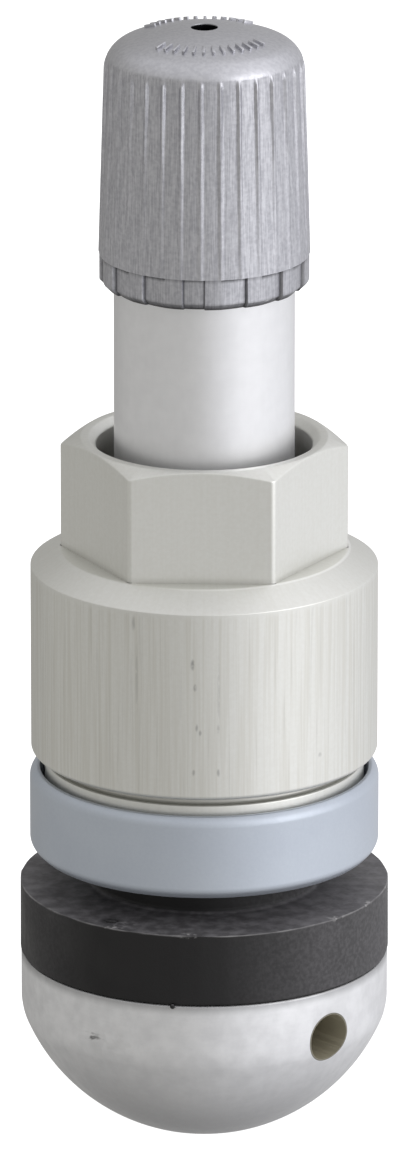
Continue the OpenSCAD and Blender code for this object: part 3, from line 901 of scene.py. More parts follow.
@dataclass
class BallStem:
    """Stem with its ball head, threads, mouth and air passage."""

    material: bpy.types.Material
    foot_r: float = 3.5 * MM
    ball_r: float = 9.35 * MM
    head_r: float = 8.83 * MM
    head_h: float = 8.4 * MM
    head_blend: float = 0.5 * MM
    blend_fit: float = 0.98
    ball_steps: int = 28
    shank_r: float = 4.7 * MM
    shank_top: float = 15.4 * MM
    nut_root_r: float = 4.42 * MM
    nut_crest_r: float = 4.95 * MM
    nut_pitch: float = 1.0 * MM
    shaft_base: float = 26.5 * MM
    shaft_r: float = 4.31 * MM
    shoulder: float = 42.2 * MM
    mouth_r: float = 3.42 * MM
    mouth_crest_r: float = 3.875 * MM
    mouth_pitch: float = 0.79375 * MM
    mouth_top: float = 52.0 * MM
    chamfer: float = 0.3 * MM
    core_r: float = 2.62 * MM
    core_base: float = 45.6 * MM
    seat_top_r: float = 2.2 * MM
    seat_top: float = 45.15 * MM
    lower_r: float = 1.9 * MM
    seat_base: float = 43.35 * MM
    chamber_base: float = 33.72 * MM
    passage_r: float = 1.1 * MM
    screw_r: float = 1.65 * MM
    screw_depth: float = 5.2 * MM
    hole_r: float = 1.15 * MM
    hole_z: float = 6.0 * MM
    hole_turn: float = math.radians(-47.1)
    hole_bevel: float = 0.07 * MM
    hole_sides: int = 64
    rim_angle: float = math.radians(40)
    rim_play: float = 0.01 * MM
    columns: int = 256

    def section(self) -> list[Corner]:
        """Draws the half section.

        Returns:
            Its corners, up the outside and down the bores.
        """
        ball_z = math.sqrt(self.ball_r ** 2 - self.foot_r ** 2)
        low = -math.acos(self.foot_r / self.ball_r)
        high = -math.acos(self.head_r / self.ball_r)
        edge, break_edge = 0.12 * MM, 0.05 * MM
        cone = self.chamber_base - (self.lower_r - self.passage_r)
        return [
            Corner(self.screw_r + self.chamfer, 0),
            *arc(0, ball_z, self.ball_r, low, high - self.head_blend / self.ball_r, self.ball_steps),
            Corner(self.head_r, ball_z + self.ball_r * math.sin(high), self.head_blend * self.blend_fit),
            Corner(self.head_r, self.head_h, edge), Corner(self.shank_r, self.head_h),
            Corner(self.shank_r, self.shank_top, break_edge), Corner(self.nut_root_r, self.shank_top),
            Corner(self.nut_root_r, self.shaft_base), Corner(self.shaft_r, self.shaft_base),
            Corner(self.shaft_r, self.shoulder - self.chamfer, break_edge),
            Corner(self.shaft_r - self.chamfer, self.shoulder), Corner(self.mouth_r, self.shoulder),
            Corner(self.mouth_r, self.mouth_top - self.chamfer, break_edge),
            Corner(self.mouth_r - self.chamfer, self.mouth_top, break_edge),
            Corner(self.core_r + self.chamfer, self.mouth_top, break_edge),
            Corner(self.core_r, self.mouth_top - self.chamfer), Corner(self.core_r, self.core_base),
            Corner(self.seat_top_r, self.seat_top), Corner(self.lower_r, self.seat_base),
            Corner(self.lower_r, self.chamber_base), Corner(self.passage_r, cone),
            Corner(self.passage_r, self.screw_depth), Corner(self.screw_r, self.screw_depth),
            Corner(self.screw_r, self.chamfer),
        ]

    def drill(self, bm: bmesh.types.BMesh) -> bmesh.types.BMesh:
        """Drills the cross hole through the head and breaks its edge.

        Args:
            bm: The turned stem, which is freed.

        Returns:
            The drilled stem.
        """
        turn = Matrix.Rotation(self.hole_turn, 4, "Z") @ Matrix.Rotation(math.pi / 2, 4, "Y")
        place = Matrix.Translation((0, 0, self.hole_z)) @ turn
        cutter_bm = bmesh.new()
        bmesh.ops.create_cone(cutter_bm, cap_ends=True, segments=self.hole_sides, radius1=self.hole_r,
                              radius2=self.hole_r, depth=4 * self.ball_r, matrix=place)
        blanks = []
        for name, source in (("stem_blank", bm), ("drill", cutter_bm)):
            mesh = bpy.data.meshes.new(name)
            source.to_mesh(mesh)
            source.free()
            blanks.append(bpy.data.objects.new(name, mesh))
            bpy.context.scene.collection.objects.link(blanks[-1])
        blank, cutter = blanks
        cut = blank.modifiers.new("cross_hole", "BOOLEAN")
        cut.operation, cut.solver, cut.object = "DIFFERENCE", "EXACT", cutter
        drilled = bmesh.new()
        drilled.from_object(blank, bpy.context.evaluated_depsgraph_get())
        for used in blanks:
            mesh = used.data
            bpy.data.objects.remove(used)
            bpy.data.meshes.remove(mesh)
        along = Vector((math.cos(self.hole_turn), math.sin(self.hole_turn), 0))
        rim = [edge for edge in drilled.edges if self.on_rim(edge, along)]
        soften(drilled, rim, self.hole_bevel, clamp=True)
        return drilled

    def on_rim(self, edge: bmesh.types.BMEdge, along: Vector) -> bool:
        """Tells whether an edge lies on the outer rim of the cross hole.

        Args:
            edge: Edge of the drilled stem.
            along: Direction of the hole.

        Returns:
            True on the rim.
        """
        if len(edge.link_faces) != 2 or edge.calc_face_angle(0) < self.rim_angle:
            return False
        spots = [vert.co - Vector((0, 0, self.hole_z)) for vert in edge.verts]
        reaches = [(spot - along * spot.dot(along)).length for spot in spots]
        on_wall = all(abs(reach - self.hole_r) < self.rim_play for reach in reaches)
        return on_wall and all(spot.xy.length > self.shank_r for spot in spots)

    def build(self) -> None:
        """Builds the stem and its two outer threads."""
        stem = self.drill(turn_section(self.section(), self.columns))
        to_piece(stem, "ball_stem", Body.STEM, Slot.STEM_METAL, self.material, "valve_stem")
        nut_thread = ScrewThread(self.nut_root_r, self.nut_crest_r, self.nut_pitch, self.shank_top,
                                 self.shaft_base)
        to_piece(nut_thread.build(), "stem_nut_thread", Body.STEM, Slot.STEM_METAL, self.material)
        mouth_thread = ScrewThread(self.mouth_r, self.mouth_crest_r, self.mouth_pitch,
                                   self.shoulder + self.chamfer, self.mouth_top - self.chamfer,
                                   crest_width=0.1 * MM)
        to_piece(mouth_thread.build(), "stem_mouth_thread", Body.STEM, Slot.STEM_METAL, self.material)


@dataclass
class Grommet:
    """Rubber grommet: a flange with a worn upper edge and a neck."""

    material: bpy.types.Material
    flange_r: float = 8.88 * MM
    flange_round: float = 0.16 * MM
    round_steps: int = 8
    bore_r: float = 4.73 * MM
    base: float = 8.43 * MM
    flange_top: float = 11.96 * MM
    neck_r: float = 5.5 * MM
    neck_chamfer: float = 0.35 * MM
    top: float = 15.01 * MM
    wobble: float = 0.022 * MM
    wave_length: float = 0.9 * MM
    ripple_length: float = 0.35 * MM
    ripple_share: float = 0.6
    side_level: float = 1.0
    top_level: float = 0.4
    nib_turn: float = FRONT + math.radians(-9.8)
    nib_size: Point = in_mm(0.1, 0.12, 0.12)
    nib_out: float = 0.05 * MM
    nib_rise: float = -0.03 * MM
    uneven_reach: float = 0.8 * MM
    lump_place: Span = (-4.42 * MM, -6.62 * MM)
    lump_size: Point = in_mm(0.3, 0.2, 0.1)
    columns: int = 320

    def section(self) -> list[Corner]:
        """Draws the half section.

        Returns:
            Its corners, from the foot of the bore up the outside.
        """
        break_edge, neck_soft = 0.05 * MM, 0.25 * MM
        inner, rounding = self.flange_r - self.flange_round, self.flange_round
        return [
            Corner(self.bore_r, self.base), Corner(inner, self.base),
            *arc(inner, self.base + rounding, rounding, -math.pi / 2, 0, self.round_steps)[1:],
            Corner(self.flange_r, self.flange_top, break_edge),
            Corner(self.neck_r, self.flange_top, neck_soft),
            Corner(self.neck_r, self.top - self.neck_chamfer, break_edge),
            Corner(self.neck_r - self.neck_chamfer, self.top, break_edge), Corner(self.bore_r, self.top),
        ]

    def build(self) -> None:
        """Builds the grommet with its uneven edge, the nib left by the mould and a lump on the flange."""
        bm = turn_section(self.section(), self.columns)
        for vert in bm.verts:
            if vert.co.xy.length > self.flange_r - self.uneven_reach:
                ripple = self.ripple_share * noise.noise(vert.co / self.ripple_length)
                wave = noise.noise(vert.co / self.wave_length) + ripple
                vert.co.xy *= 1 + self.wobble * (wave - self.side_level) / self.flange_r
                if vert.co.z > self.flange_top - self.uneven_reach:
                    vert.co.z += self.wobble * (wave - self.top_level)
        turn = Matrix.Rotation(self.nib_turn, 4, "Z")
        nib = turn @ Matrix.Translation((self.flange_r + self.nib_out, 0, self.base + self.nib_rise))
        lump = Matrix.Translation((*self.lump_place, self.flange_top))
        for place, size in ((nib, self.nib_size), (lump, self.lump_size)):
            bmesh.ops.create_icosphere(bm, subdivisions=3, radius=1.0,
                                       matrix=place @ Matrix.Diagonal((*size, 1)))
        to_piece(bm, "seal_grommet", Body.STEM, Slot.RUBBER, self.material, "rubber_grommet")


@dataclass
class SpacerRing:
    """Plastic ring with a cup that snaps on the lip of the nut."""

    material: bpy.types.Material
    outer_r: float = 8.385 * MM
    hole_r: float = 5.75 * MM
    base: float = 13.58 * MM
    top: float = 17.68 * MM
    cup_r: float = 7.905 * MM
    cup_floor: float = 15.21 * MM
    bevel: float = 0.38 * MM
    top_edge: float = 0.3 * MM
    groove: float = 0.14 * MM
    bead_low: float = 15.91625 * MM
    bead_h: float = 0.6175 * MM
    play: float = 0.15 * MM
    columns: int = 256

    def section(self) -> list[Corner]:
        """Draws the half section.

        Returns:
            Its corners, from the foot of the bore up the outside.
        """
        soft, crisp, rim = 0.1 * MM, 0.05 * MM, 0.2 * MM
        groove_low, groove_high = self.bead_low - self.play, self.bead_low + self.bead_h + self.play
        return [
            Corner(self.hole_r, self.base, soft), Corner(self.outer_r - self.bevel, self.base, crisp),
            Corner(self.outer_r, self.base + self.bevel, rim),
            Corner(self.outer_r, self.top - self.top_edge, rim),
            Corner(self.outer_r - self.top_edge, self.top, crisp), Corner(self.cup_r, self.top, crisp),
            Corner(self.cup_r, groove_high + self.groove),
            Corner(self.cup_r + self.groove, groove_high), Corner(self.cup_r + self.groove, groove_low),
            Corner(self.cup_r, groove_low - self.groove), Corner(self.cup_r, self.cup_floor),
            Corner(self.hole_r, self.cup_floor, soft),
        ]

    def build(self) -> None:
        """Builds the ring."""
        ring = turn_section(self.section(), self.columns)
        to_piece(ring, "snap_ring", Body.RING, Slot.RING_PLASTIC, self.material, "spacer_ring")


@dataclass
class CollarNut:
    """Collar nut with a hexagon, a lip for the ring and an inner thread."""

    material: bpy.types.Material
    base: float = 15.36 * MM
    lip_r: float = 7.665 * MM
    bead: float = 0.14 * MM
    bead_low: float = 15.91625 * MM
    bead_h: float = 0.6175 * MM
    groove_r: float = 7.35 * MM
    groove_h: float = 0.46 * MM
    groove_soft: float = 0.16 * MM
    collar_r: float = 8.32 * MM
    collar_base: float = 18.55 * MM
    collar_edge: float = 0.16 * MM
    shoulder_base: float = 27.8 * MM
    shoulder_soft: float = 0.035 * MM
    hex_base: float = 28.64 * MM
    hex_top: float = 34.13 * MM
    hex_af: float = 11.95 * MM
    hex_land: float = 0.04 * MM
    hex_inset: float = 0.05 * MM
    hex_chamfer: float = 0.44 * MM
    hex_turn: float = math.radians(-1.4)
    hex_shade: float = 0.3 * MM
    # Share of painted shade along the foot of the hexagon
    foot_painted_shade: float = 0.55
    corner_soft: float = 0.12 * MM
    corner_play: float = 1e-4
    counter_r: float = 5.17 * MM
    counter_depth: float = 4.5 * MM
    counter_chamfer: float = 0.33 * MM
    counter_shade: float = 1.3 * MM
    bore_r: float = 5.05 * MM
    thread_crest_r: float = 4.52 * MM
    thread_pitch: float = 1.0 * MM
    thread_gap: float = 0.8 * MM
    relief_r: float = 5.75 * MM
    relief_h: float = 4.85 * MM
    columns_per_side: int = 48

    def section(self) -> list[Corner]:
        """Draws the half section.

        Returns:
            Its corners, from the foot up the outside and down the bore.
        """
        edge, fine = 0.08 * MM, 0.05 * MM
        corner_r = self.hex_af / math.sqrt(3)
        flat_r = self.hex_af / 2
        step = self.hex_top - self.counter_depth
        relief_top = self.base + self.relief_h
        return [
            Corner(self.relief_r, self.base, edge), Corner(self.lip_r, self.base, edge),
            Corner(self.lip_r, self.bead_low - self.bead),
            Corner(self.lip_r + self.bead, self.bead_low, fine),
            Corner(self.lip_r + self.bead, self.bead_low + self.bead_h, fine),
            Corner(self.lip_r, self.bead_low + self.bead_h + self.bead),
            Corner(self.lip_r, self.collar_base - self.groove_h, edge),
            Corner(self.groove_r, self.collar_base - self.groove_h, self.groove_soft, Row.GROOVE),
            Corner(self.groove_r, self.collar_base, self.groove_soft, Row.GROOVE),
            Corner(self.collar_r - self.collar_edge, self.collar_base, edge),
            Corner(self.collar_r, self.collar_base + self.collar_edge, edge),
            Corner(self.collar_r, self.shoulder_base, self.shoulder_soft),
            Corner(corner_r + self.hex_land, self.hex_base, edge),
            Corner(flat_r, self.hex_base, row=Row.HEX_FOOT),
            Corner(flat_r, self.hex_base + self.hex_shade, row=Row.HEX_WALL),
            Corner(flat_r, self.hex_top - self.hex_inset, fine, Row.HEX_TOP),
            Corner(flat_r - self.hex_inset, self.hex_top, fine),
            Corner(self.counter_r + self.counter_chamfer, self.hex_top, edge),
            Corner(self.counter_r, self.hex_top - self.counter_chamfer, edge),
            Corner(self.counter_r, self.hex_top - self.counter_shade, row=Row.GROOVE),
            Corner(self.counter_r, step, row=Row.GROOVE),
            Corner(self.bore_r, step - (self.counter_r - self.bore_r)),
            Corner(self.bore_r, relief_top + self.relief_r - self.bore_r),
            Corner(self.relief_r, relief_top),
        ]

    def build(self) -> None:
        """Builds the nut and its thread."""
        corners = self.section()
        bm = turn_section(corners, 6 * self.columns_per_side)
        recess = bm.verts.layers.float.new(RECESS)
        row = bm.verts.layers.int[ROW]
        hexagon = (Row.HEX_FOOT, Row.HEX_WALL, Row.HEX_TOP)
        rows = {index: corner.row for index, corner in enumerate(corners) if corner.row in hexagon}
        # Painted shade in the groove under the collar, down the counterbore and along the foot of the
        # hexagon
        painted_shade = {Row.GROOVE: 1.0, Row.HEX_FOOT: self.foot_painted_shade}
        flat_r = self.hex_af / 2
        slope = self.hex_chamfer / (self.hex_af / math.sqrt(3) - flat_r + self.hex_inset)
        for vert in bm.verts:
            vert[recess] = painted_shade.get(corners[vert[row]].row, 0.0)
            if vert[row] not in rows:
                continue
            reach = flat_r / math.cos(angle_of(vert) % HEX_SIDE - HEX_SIDE / 2)
            vert.co.xy *= reach / flat_r
            if rows[vert[row]] is Row.HEX_TOP:
                vert.co.z -= (reach - flat_r) * slope
        bmesh.ops.recalc_face_normals(bm, faces=bm.faces[:])
        soften(bm, [edge for edge in bm.edges if self.on_corner(edge, row, rows)], self.corner_soft)
        turn_about(bm, self.hex_turn)
        to_piece(bm, "hex_collar_nut", Body.NUT, Slot.NUT_METAL, self.material, "collar_nut")
        thread_base = self.base + self.relief_h + self.thread_gap
        thread = ScrewThread(self.bore_r, self.thread_crest_r, self.thread_pitch, thread_base,
                             self.hex_top - self.counter_depth, start=math.pi)
        to_piece(thread.build(), "nut_inner_thread", Body.NUT, Slot.NUT_METAL, self.material)

    def on_corner(self, edge: bmesh.types.BMEdge, row: bmesh.types.BMLayerItem,
                  rows: dict[int, Row]) -> bool:
        """Tells whether an edge runs up a corner of the hexagon.

        Args:
            edge: Edge of the nut before it is turned to its place.
            row: Layer that names the rows.
            rows: Rows that follow the hexagon.

        Returns:
            True on a corner.
        """
        if any(vert[row] not in rows for vert in edge.verts):
            return False
        half = HEX_SIDE / 2
        turns = [(angle_of(vert) + half) % HEX_SIDE - half for vert in edge.verts]
        return all(abs(turn) < self.corner_play for turn in turns)


@dataclass
class ScrewCap:
    """Fluted plastic cap with a ratchet skirt, a gate mark and plain raised bars on its dome."""

    material: bpy.types.Material
    base: float = 41.75 * MM
    top: float = 54.32 * MM
    skirt_r: float = 4.99 * MM
    skirt_h: float = 1.54 * MM
    skirt_chamfer: float = 0.3 * MM
    body_base_r: float = 5.035 * MM
    body_top_r: float = 4.77 * MM
    corner_r: float = 1.5 * MM
    dome_r: float = 11.0 * MM
    ribs: int = 32
    rib_turn: float = FRONT + math.radians(-2.05)
    flute_top: float = 0.12 * MM
    flute_base: float = 0.03 * MM
    mould_turn: float = FRONT + math.radians(-6.1)
    first_wall: float = math.radians(6)
    wall_pitch: float = math.radians(24)
    walls_per_side: int = 4
    lug: float = math.radians(9.5)
    pocket: float = 0.16 * MM
    wall_shade: float = math.radians(0.75)
    edge_reach: float = 0.1 * MM
    lip_reach: float = 0.2 * MM
    # Shares of painted shade: beside pocket walls, over the skirt, under its lip, under the lip of a lug, at
    # the top of the chamfer and on the chamfer
    wall_painted_shade: float = 0.6
    skirt_painted_shade: float = 0.06
    lip_painted_shade: float = 0.9
    lug_lip_painted_shade: float = 0.4
    edge_painted_shade: float = 0.3
    foot_painted_shade: float = 0.9
    bore_r: float = 3.98 * MM
    thread_crest_r: float = 3.52 * MM
    thread_pitch: float = 0.79375 * MM
    thread_low_gap: float = 0.9 * MM
    thread_high_gap: float = 1.0 * MM
    skirt_bore_r: float = 4.45 * MM
    skirt_bore_top: float = 43.1 * MM
    roof: float = 52.9 * MM
    gate_r: float = 0.65 * MM
    gate_depth: float = 0.4 * MM
    gate_lip: float = 0.08 * MM
    bar: Point = in_mm(0.62, 0.15, 0.3)
    bar_rise: float = 0.14 * MM
    bar_soft: float = 0.04 * MM
    bar_circle: float = 2.95 * MM
    bar_span: float = math.radians(104)
    bar_turn: float = math.radians(8)
    bars: int = 13
    body_rows: int = 9
    flute_steps: int = 14
    corner_steps: int = 8
    dome_steps: int = 12
    columns_per_rib: int = 16
    rib_columns: int = 2
    flank_share: float = 0.55

    def section(self) -> list[Corner]:
        """Draws the half section.

        Returns:
            Its corners, from the roof inside to the gate mark on top.
        """
        body_z = self.base + self.skirt_h
        dome_z = self.top - self.dome_r
        fine = 0.04 * MM
        corner_x, corner_z = self.corner_centre()
        meet = math.atan2(corner_z - dome_z, corner_x)
        end = self.flute_end()
        gate_edge = math.acos(self.gate_r / self.dome_r)
        gate_floor = self.top - self.gate_depth
        chamfer_z = self.base + self.skirt_chamfer
        return [
            Corner(0, self.roof), Corner(self.bore_r, self.roof),
            Corner(self.bore_r, self.skirt_bore_top + self.skirt_bore_r - self.bore_r),
            Corner(self.skirt_bore_r, self.skirt_bore_top), Corner(self.skirt_bore_r, self.base, fine),
            Corner(self.skirt_r - self.skirt_chamfer, self.base, row=Row.SKIRT_FOOT),
            Corner(self.skirt_r, chamfer_z, row=Row.SKIRT_EDGE),
            Corner(self.skirt_r, chamfer_z + self.edge_reach, row=Row.SKIRT),
            Corner(self.skirt_r, body_z - self.lip_reach, row=Row.SKIRT),
            Corner(self.skirt_r, body_z, row=Row.SKIRT_TOP), Corner(self.body_base_r, body_z, row=Row.BODY),
            *(self.body_corner(body_z, corner_z, i / self.body_rows) for i in range(1, self.body_rows)),
            *arc(corner_x, corner_z, self.corner_r, 0, end, self.flute_steps, Row.BODY),
            *arc(corner_x, corner_z, self.corner_r, end, meet, self.corner_steps)[1:],
            *arc(0, dome_z, self.dome_r, meet, gate_edge, self.dome_steps)[1:],
            Corner(self.gate_r - fine / 2, self.top - self.gate_lip, row=Row.GATE),
            Corner(self.gate_r - fine, gate_floor, row=Row.GATE),
            Corner(self.gate_r / 2, gate_floor + fine, row=Row.GATE), Corner(0, gate_floor, row=Row.GATE),
        ]

    def body_corner(self, low: float, high: float, share: float) -> Corner:
        """Gives the corner at a share of the way up the body from its foot to its rounded corner."""
        radius = self.body_base_r + (self.body_top_r - self.body_base_r) * share
        return Corner(radius, low + (high - low) * share, row=Row.BODY)

    def corner_centre(self) -> Span:
        """Gives the centre of the rounded corner in the half section."""
        x = self.body_top_r - self.corner_r
        return x, self.top - self.dome_r + math.sqrt((self.dome_r - self.corner_r) ** 2 - x ** 2)

    def flute_floor(self, height: float) -> float:
        """Finds the bottom of the flutes.

        Args:
            height: Height on the cap.

        Returns:
            Its radius there.
        """
        low, high = self.base + self.skirt_h, self.corner_centre()[1]
        low_r, high_r = self.body_base_r - self.flute_base, self.body_top_r - self.flute_top
        return low_r + (high_r - low_r) * (height - low) / (high - low)

    def flute_end(self) -> float:
        """Finds where the flutes run out on the rounded corner.

        Returns:
            The angle on the corner from the horizontal.
        """
        corner_x, corner_z = self.corner_centre()
        fall = self.flute_floor(0) - self.flute_floor(1)
        reach = (self.flute_floor(corner_z) - corner_x) / self.corner_r
        return math.atan(fall) + math.acos(reach / math.hypot(1, fall))

    def pocket_at(self, turn: float) -> Span:
        """Gives the skirt pocket at an angle.

        Args:
            turn: Angle about the axis.

        Returns:
            Its depth below the skirt, and the shade beside its wall.
        """
        half_turn = abs((turn - self.mould_turn + math.pi / 2) % math.pi - math.pi / 2)
        index = max(0, math.ceil((half_turn - self.first_wall) / self.wall_pitch))
        wall = self.first_wall + index * self.wall_pitch
        start = wall - self.wall_pitch + self.lug
        if index >= self.walls_per_side or (index and half_turn < start):
            return 0.0, 0.0
        slope = (half_turn - start) / (wall - start) if index else 1.0
        return self.pocket * slope, self.wall_painted_shade if wall - half_turn < self.wall_shade else 0.0

    def build(self) -> None:
        """Builds the cap with its flutes, pockets and bars, and its inner thread."""
        corners = self.section()
        columns = self.ribs * self.columns_per_rib
        bm = turn_section(corners, columns, closed=False)
        recess = bm.verts.layers.float.new(RECESS)
        row = bm.verts.layers.int[ROW]
        step = FULL_TURN / columns
        start = self.rib_turn - step * (self.rib_columns - 1) / 2
        turn_about(bm, start)
        # Painted shade on the rows of the skirt
        painted_shade = {Row.SKIRT_FOOT: self.foot_painted_shade, Row.SKIRT_EDGE: self.edge_painted_shade, Row.SKIRT: self.skirt_painted_shade,
                Row.SKIRT_TOP: self.lip_painted_shade}
        for vert in bm.verts:
            kind, turn = corners[vert[row]].row, angle_of(vert)
            column = round((turn - start) / step) % self.columns_per_rib
            if kind is Row.BODY and column >= self.rib_columns:
                share = self.flank_share if column in (self.rib_columns, self.columns_per_rib - 1) else 1.0
                vert.co.xy *= 1 - share * max(0.0, 1 - self.flute_floor(vert.co.z) / vert.co.xy.length)
            elif kind in painted_shade:
                depth, shade = self.pocket_at(turn)
                vert.co.xy *= (self.skirt_r - depth) / self.skirt_r
                vert[recess] = max(shade, painted_shade[kind])
                if kind is Row.SKIRT_TOP and not depth:
                    vert[recess] = self.lug_lip_painted_shade
            # Painted shade in the gate mark
            elif kind is Row.GATE:
                vert[recess] = 1.0
        self.add_bars(bm)
        bmesh.ops.recalc_face_normals(bm, faces=bm.faces[:])
        to_piece(bm, "screw_cap", Body.CAP, Slot.CAP_PLASTIC, self.material, "valve_cap")
        thread = ScrewThread(self.bore_r, self.thread_crest_r, self.thread_pitch,
                             self.skirt_bore_top + self.thread_low_gap, self.roof - self.thread_high_gap,
                             crest_width=0.1 * MM, start=math.pi)
        to_piece(thread.build(), "cap_inner_thread", Body.CAP, Slot.CAP_PLASTIC, self.material)

    def add_bars(self, bm: bmesh.types.BMesh) -> None:
        """Adds two arcs of plain raised bars to the dome.

        Args:
            bm: Mesh of the cap.
        """
        tilt = math.asin(self.bar_circle / self.dome_r)
        middle = math.sqrt(self.dome_r ** 2 - self.bar_circle ** 2) + self.top - self.dome_r
        lift = Matrix.Rotation(tilt, 4, "Y") @ Matrix.Translation((0, 0, self.bar_rise - self.bar[2] / 2))
        seat = Matrix.Translation((self.bar_circle, 0, middle)) @ lift @ Matrix.Diagonal((*self.bar, 1))
        for side in (FRONT + self.bar_turn, -FRONT + self.bar_turn):
            for i in range(self.bars):
                turn = side + self.bar_span * (i / (self.bars - 1) - 0.5)
                made = bmesh.ops.create_cube(bm, size=1.0, matrix=Matrix.Rotation(turn, 4, "Z") @ seat)
                edges = {edge for vert in made["verts"] for edge in vert.link_edges}
                soften(bm, list(edges), self.bar_soft)


@dataclass
class CoreSpring:
    """Spring round the pin, with close end turns, that shortens as the pin is pressed."""

    material: bpy.types.Material
    base: float = 39.15 * MM
    length: float = 4.7 * MM
    wire_r: float = 0.13 * MM
    coil_r: float = 0.85 * MM
    open_turns: int = 5
    fit: float = 0.05 * MM
    travel: float = 1.2 * MM
    steps_per_turn: int = 40
    wire_sides: int = 12

    def build(self) -> None:
        """Builds the spring as one wire with a mesh of its own."""
        bm = bmesh.new()
        start = Matrix.Translation((self.coil_r, 0, self.base + self.fit + self.wire_r))
        bmesh.ops.create_circle(bm, cap_ends=False, segments=self.wire_sides, radius=self.wire_r,
                                matrix=start @ Matrix.Rotation(math.pi / 2, 4, "X"))
        end_rise = 2 * self.wire_r + self.fit
        open_rise = (self.length - 2 * (self.fit + self.wire_r + end_rise)) / self.open_turns
        tip = bm.verts[:] + bm.edges[:]
        for turns, rise in ((1, end_rise), (self.open_turns, open_rise), (1, end_rise)):
            spun = bmesh.ops.spin(bm, geom=tip, cent=(0, 0, 0), axis=(0, 0, 1), angle=turns * FULL_TURN,
                                  steps=turns * self.steps_per_turn, dvec=(0, 0, rise / self.steps_per_turn))
            tip = spun["geom_last"]
        bmesh.ops.holes_fill(bm, edges=bm.edges[:], sides=self.wire_sides)
        bmesh.ops.recalc_face_normals(bm, faces=bm.faces[:])
        spring = to_piece(bm, "coil_spring", Body.STEM, Slot.SPRING_STEEL, self.material, "core_spring")
        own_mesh(spring)


@dataclass
class ValveCore:
    """Valve core and cap seal, which keep the solids of the frame."""

    brass: bpy.types.Material
    rubber: bpy.types.Material

    def build(self) -> None:
        """Gives each solid its finish."""
        finishes = {
            self.brass: ("core_plug", "core_barrel", "core_pin", "plunger_cup"),
            self.rubber: ("core_gasket", "plunger_seal", "cap_seal"),
        }
        for material, names in finishes.items():
            for name in names:
                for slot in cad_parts[name].material_slots:
                    slot.material = material
                log.info("dressed %s with %s", name, material.name)


